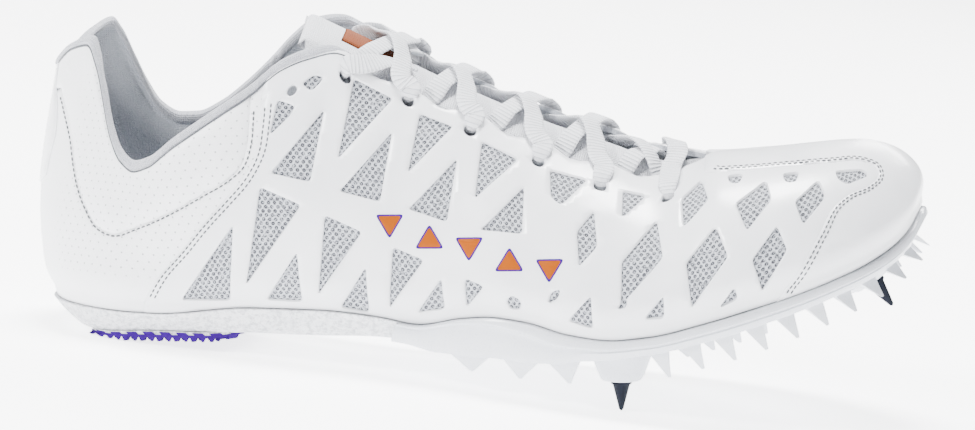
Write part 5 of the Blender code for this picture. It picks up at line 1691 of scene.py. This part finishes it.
def build_tread():
    """Heel tread: a thin base, slanted links in foam over it, and wavy bars cut level at the back."""
    length = TREAD_LENGTH - 2.0 * MM
    end = TREAD_START + length

    def half(side, along):
        edge = abs(feather_points(side, station_of(along))[0][1]) - TREAD_INSET
        near = min(end + SEAT_GAP - along, along - TREAD_START + TREAD_CORNER / 3, TREAD_CORNER)
        left = 1 - max(near / TREAD_CORNER, 0.0)
        return edge * (1 - left ** ROUND_POWER) ** (1 / ROUND_POWER)

    body = tread_ground() + TREAD_LUG_HEIGHT

    def under_foam(along):
        return float(sole_bottom(along)) - SEAT_GAP

    def block(points, faces, start, stop, low, high, lean, inset):
        """One slab across the tread between two places along it, leaning over its height."""
        rows, columns = max(int((stop - start) / MM), 2) + 1, 41
        first = len(points)
        for height, shift in ((high, 0.0), (low, lean)):
            for along in np.linspace(start, stop, rows):
                x = min(max(along + shift, TREAD_START), end)
                for across in np.linspace(-1, 1, columns):
                    side = LATERAL if across < 0 else MEDIAL
                    points.append((x, across * (half(side, x) - inset), height(along)))
        count = rows * columns
        for i in range(rows - 1):
            for j in range(columns - 1):
                a = first + i * columns + j
                quad = (a, a + 1, a + columns + 1, a + columns)
                faces.append(quad[::-1])
                faces.append(tuple(count + k for k in quad))
        border = list(range(columns)) + [i * columns + columns - 1 for i in range(1, rows)]
        border += [(rows - 1) * columns + j for j in range(columns - 2, -1, -1)]
        border += [i * columns for i in range(rows - 2, 0, -1)]
        for a, b in zip(border, border[1:] + border[:1]):
            faces.append((first + a, first + b, first + b + count, first + a + count))

    points, faces = [], []
    block(points, faces, TREAD_START, end, lambda along: body, lambda along: body + TREAD_BASE, 0.0, 0.0)
    link = TREAD_START + 0.4 * TREAD_LINK_PITCH
    while link < end - TREAD_LINK_LENGTH:
        block(
            points, faces, link, link + TREAD_LINK_LENGTH, lambda along: body + 0.5 * TREAD_BASE, under_foam,
            TREAD_LINK_LEAN, 0.1 * MM,
        )
        link += TREAD_LINK_PITCH
    thing = add_mesh("tread_base", points, faces, [MATERIAL["tread"]], angle=40)
    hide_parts("heel_tread")

    points, faces = [], []
    block(
        points, faces, TREAD_START + 0.6 * MM, end - 0.6 * MM, lambda along: body + 0.6 * TREAD_BASE,
        lambda along: under_foam(along) + SEAT_GAP, 0.0, 0.5 * MM,
    )
    thing = add_mesh("tread_bed", points, faces, [MATERIAL["foam"]], angle=40)

    points, faces = [], []
    number = int((length - 2 * TREAD_BAR_PITCH) / TREAD_BAR_PITCH)
    for bar in range(number + 1):
        along = TREAD_START + TREAD_BAR_PITCH * (bar + 1)
        reach = [half(side, along) - 0.2 * MM for side in SIDES]
        start = len(points)
        for k in range(TREAD_BAR_STEPS + 1):
            y = -reach[0] + (reach[0] + reach[1]) * k / TREAD_BAR_STEPS
            phase = 2 * math.pi * y / TREAD_WAVE_LENGTH + (bar % 2) * 0.8
            bend = TREAD_WAVE * math.sin(phase) + 0.06 * y
            for out, drop in TREAD_BAR_SECTION:
                x = min(max(along + bend + out * MM, TREAD_START), end)
                z = body + 0.2 * MM - drop * (TREAD_LUG_HEIGHT + 0.2 * MM)
                points.append((x, y, max(z, floor_height(x))))
        for k in range(TREAD_BAR_STEPS):
            a, b = start + 4 * k, start + 4 * (k + 1)
            for c in range(3):
                faces.append((a + c, b + c, b + c + 1, a + c + 1))
        faces.append((start, start + 1, start + 2, start + 3))
        last = start + 4 * TREAD_BAR_STEPS
        faces.append((last + 3, last + 2, last + 1, last))
    thing = add_mesh("tread_bars", points, faces, [MATERIAL["tread"]], angle=30)


INSOLE_THICKNESS = 3.0 * MM


def build_insole():
    """The sock liner on the footbed, its rim a little raised."""
    stations = (1 - np.cos(np.linspace(0.02, math.pi - 0.02, 140))) / 2
    stations = np.arccos(1 - 2 * stations) / math.pi
    inset = UPPER_WALL + 0.9 * MM
    edges = {}
    for side in SIDES:
        edges[side] = feather_points(side, stations) - outward(side, stations) * inset
    across = np.linspace(0, 1, 41)[None, :, None]
    grid = edges[LATERAL][:, None] * (1 - across) + edges[MEDIAL][:, None] * across
    lift = 2 * SEAT_GAP + INSOLE_THICKNESS + 1.2 * MM * np.abs(2 * across[..., 0] - 1) ** 4
    grid[:, :, 2] = feather_height(grid[:, :, 0]) + lift
    ups = np.zeros(grid.shape)
    ups[..., 2] = 1.0
    thickness = np.full(grid.shape[:2], INSOLE_THICKNESS)
    thing = pad("insole_pad", grid, ups, thickness, INSOLE_THICKNESS / 2, "insole")
    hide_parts("insole")


def make_camera():
    """The charts' own view of the last, rolled with the stance."""
    back, right = (Vector(way) for way in view_directions())
    up = back.cross(right)
    place = Matrix((right, up, back)).transposed().to_4x4()
    place.translation = VIEW_TARGET + back * VIEW_DISTANCE
    stance = Matrix(TURN.tolist()).to_4x4()
    stance.translation = Vector(SHIFT.tolist())
    data = bpy.data.cameras.new("camera")
    data.sensor_width = 36.0
    data.lens = data.sensor_width * PIXELS_PER_METRE * VIEW_DISTANCE / PICTURE_SIZE[0]
    data.clip_end = 20.0
    camera = placed("camera", data)
    camera.matrix_world = stance @ place
    bpy.context.scene.camera = camera


def make_light(name, place, aim, size, power):
    data = bpy.data.lights.new(name, "AREA")
    data.shape = "RECTANGLE"
    data.size, data.size_y = size
    data.energy = power
    light = placed(name, data)
    light.location = place
    light.rotation_euler = (Vector(aim) - Vector(place)).to_track_quat("-Z", "Y").to_euler()


WORLD_STRENGTH = 0.30
WORLD_COLOUR = (0.94, 0.96, 1.0, 1)
FLOOR_HALF = 6.0
FLOOR_DROP = 0.0002
LIGHTS = (
    # name, place, aim, size, power
    ("top", (-0.1, 0.15, 1.5), (0.0, 0.0, 0.0), (0.6, 0.45), 85),
    ("key", (-1.0, -1.0, 0.9), (0.0, 0.0, 0.04), (0.35, 0.28), 50),
    ("fill", (1.2, -1.0, 0.5), (0.0, 0.0, 0.04), (0.3, 0.3), 6),
    ("rim", (0.4, 1.2, 0.9), (0.0, 0.0, 0.05), (0.9, 0.3), 26),
)


def make_room():
    """Plain pale floor, pale surroundings and soft studio lights."""
    mesh = bpy.data.meshes.new("studio_floor")
    corners = [(x * FLOOR_HALF, y * FLOOR_HALF, 0) for x, y in ((-1, -1), (1, -1), (1, 1), (-1, 1))]
    mesh.from_pydata(corners, [], [(0, 1, 2, 3)])
    mesh.materials.append(MATERIAL["floor"])
    floor = placed("studio_floor", mesh)
    floor.location = (0, 0, -FLOOR_DROP)
    world = bpy.data.worlds.new("studio")
    bpy.context.scene.world = world
    world.use_nodes = True
    shade = world.node_tree.nodes["Background"]
    shade.inputs["Color"].default_value = WORLD_COLOUR
    shade.inputs["Strength"].default_value = WORLD_STRENGTH
    for row in LIGHTS:
        make_light(*row)


def main():
    make_camera()
    build_shell()
    build_skins()
    build_accents()
    build_stitches()
    build_binding()
    build_insole()
    build_tongue()
    build_laces()
    build_sole()
    build_tread()
    make_room()


main()
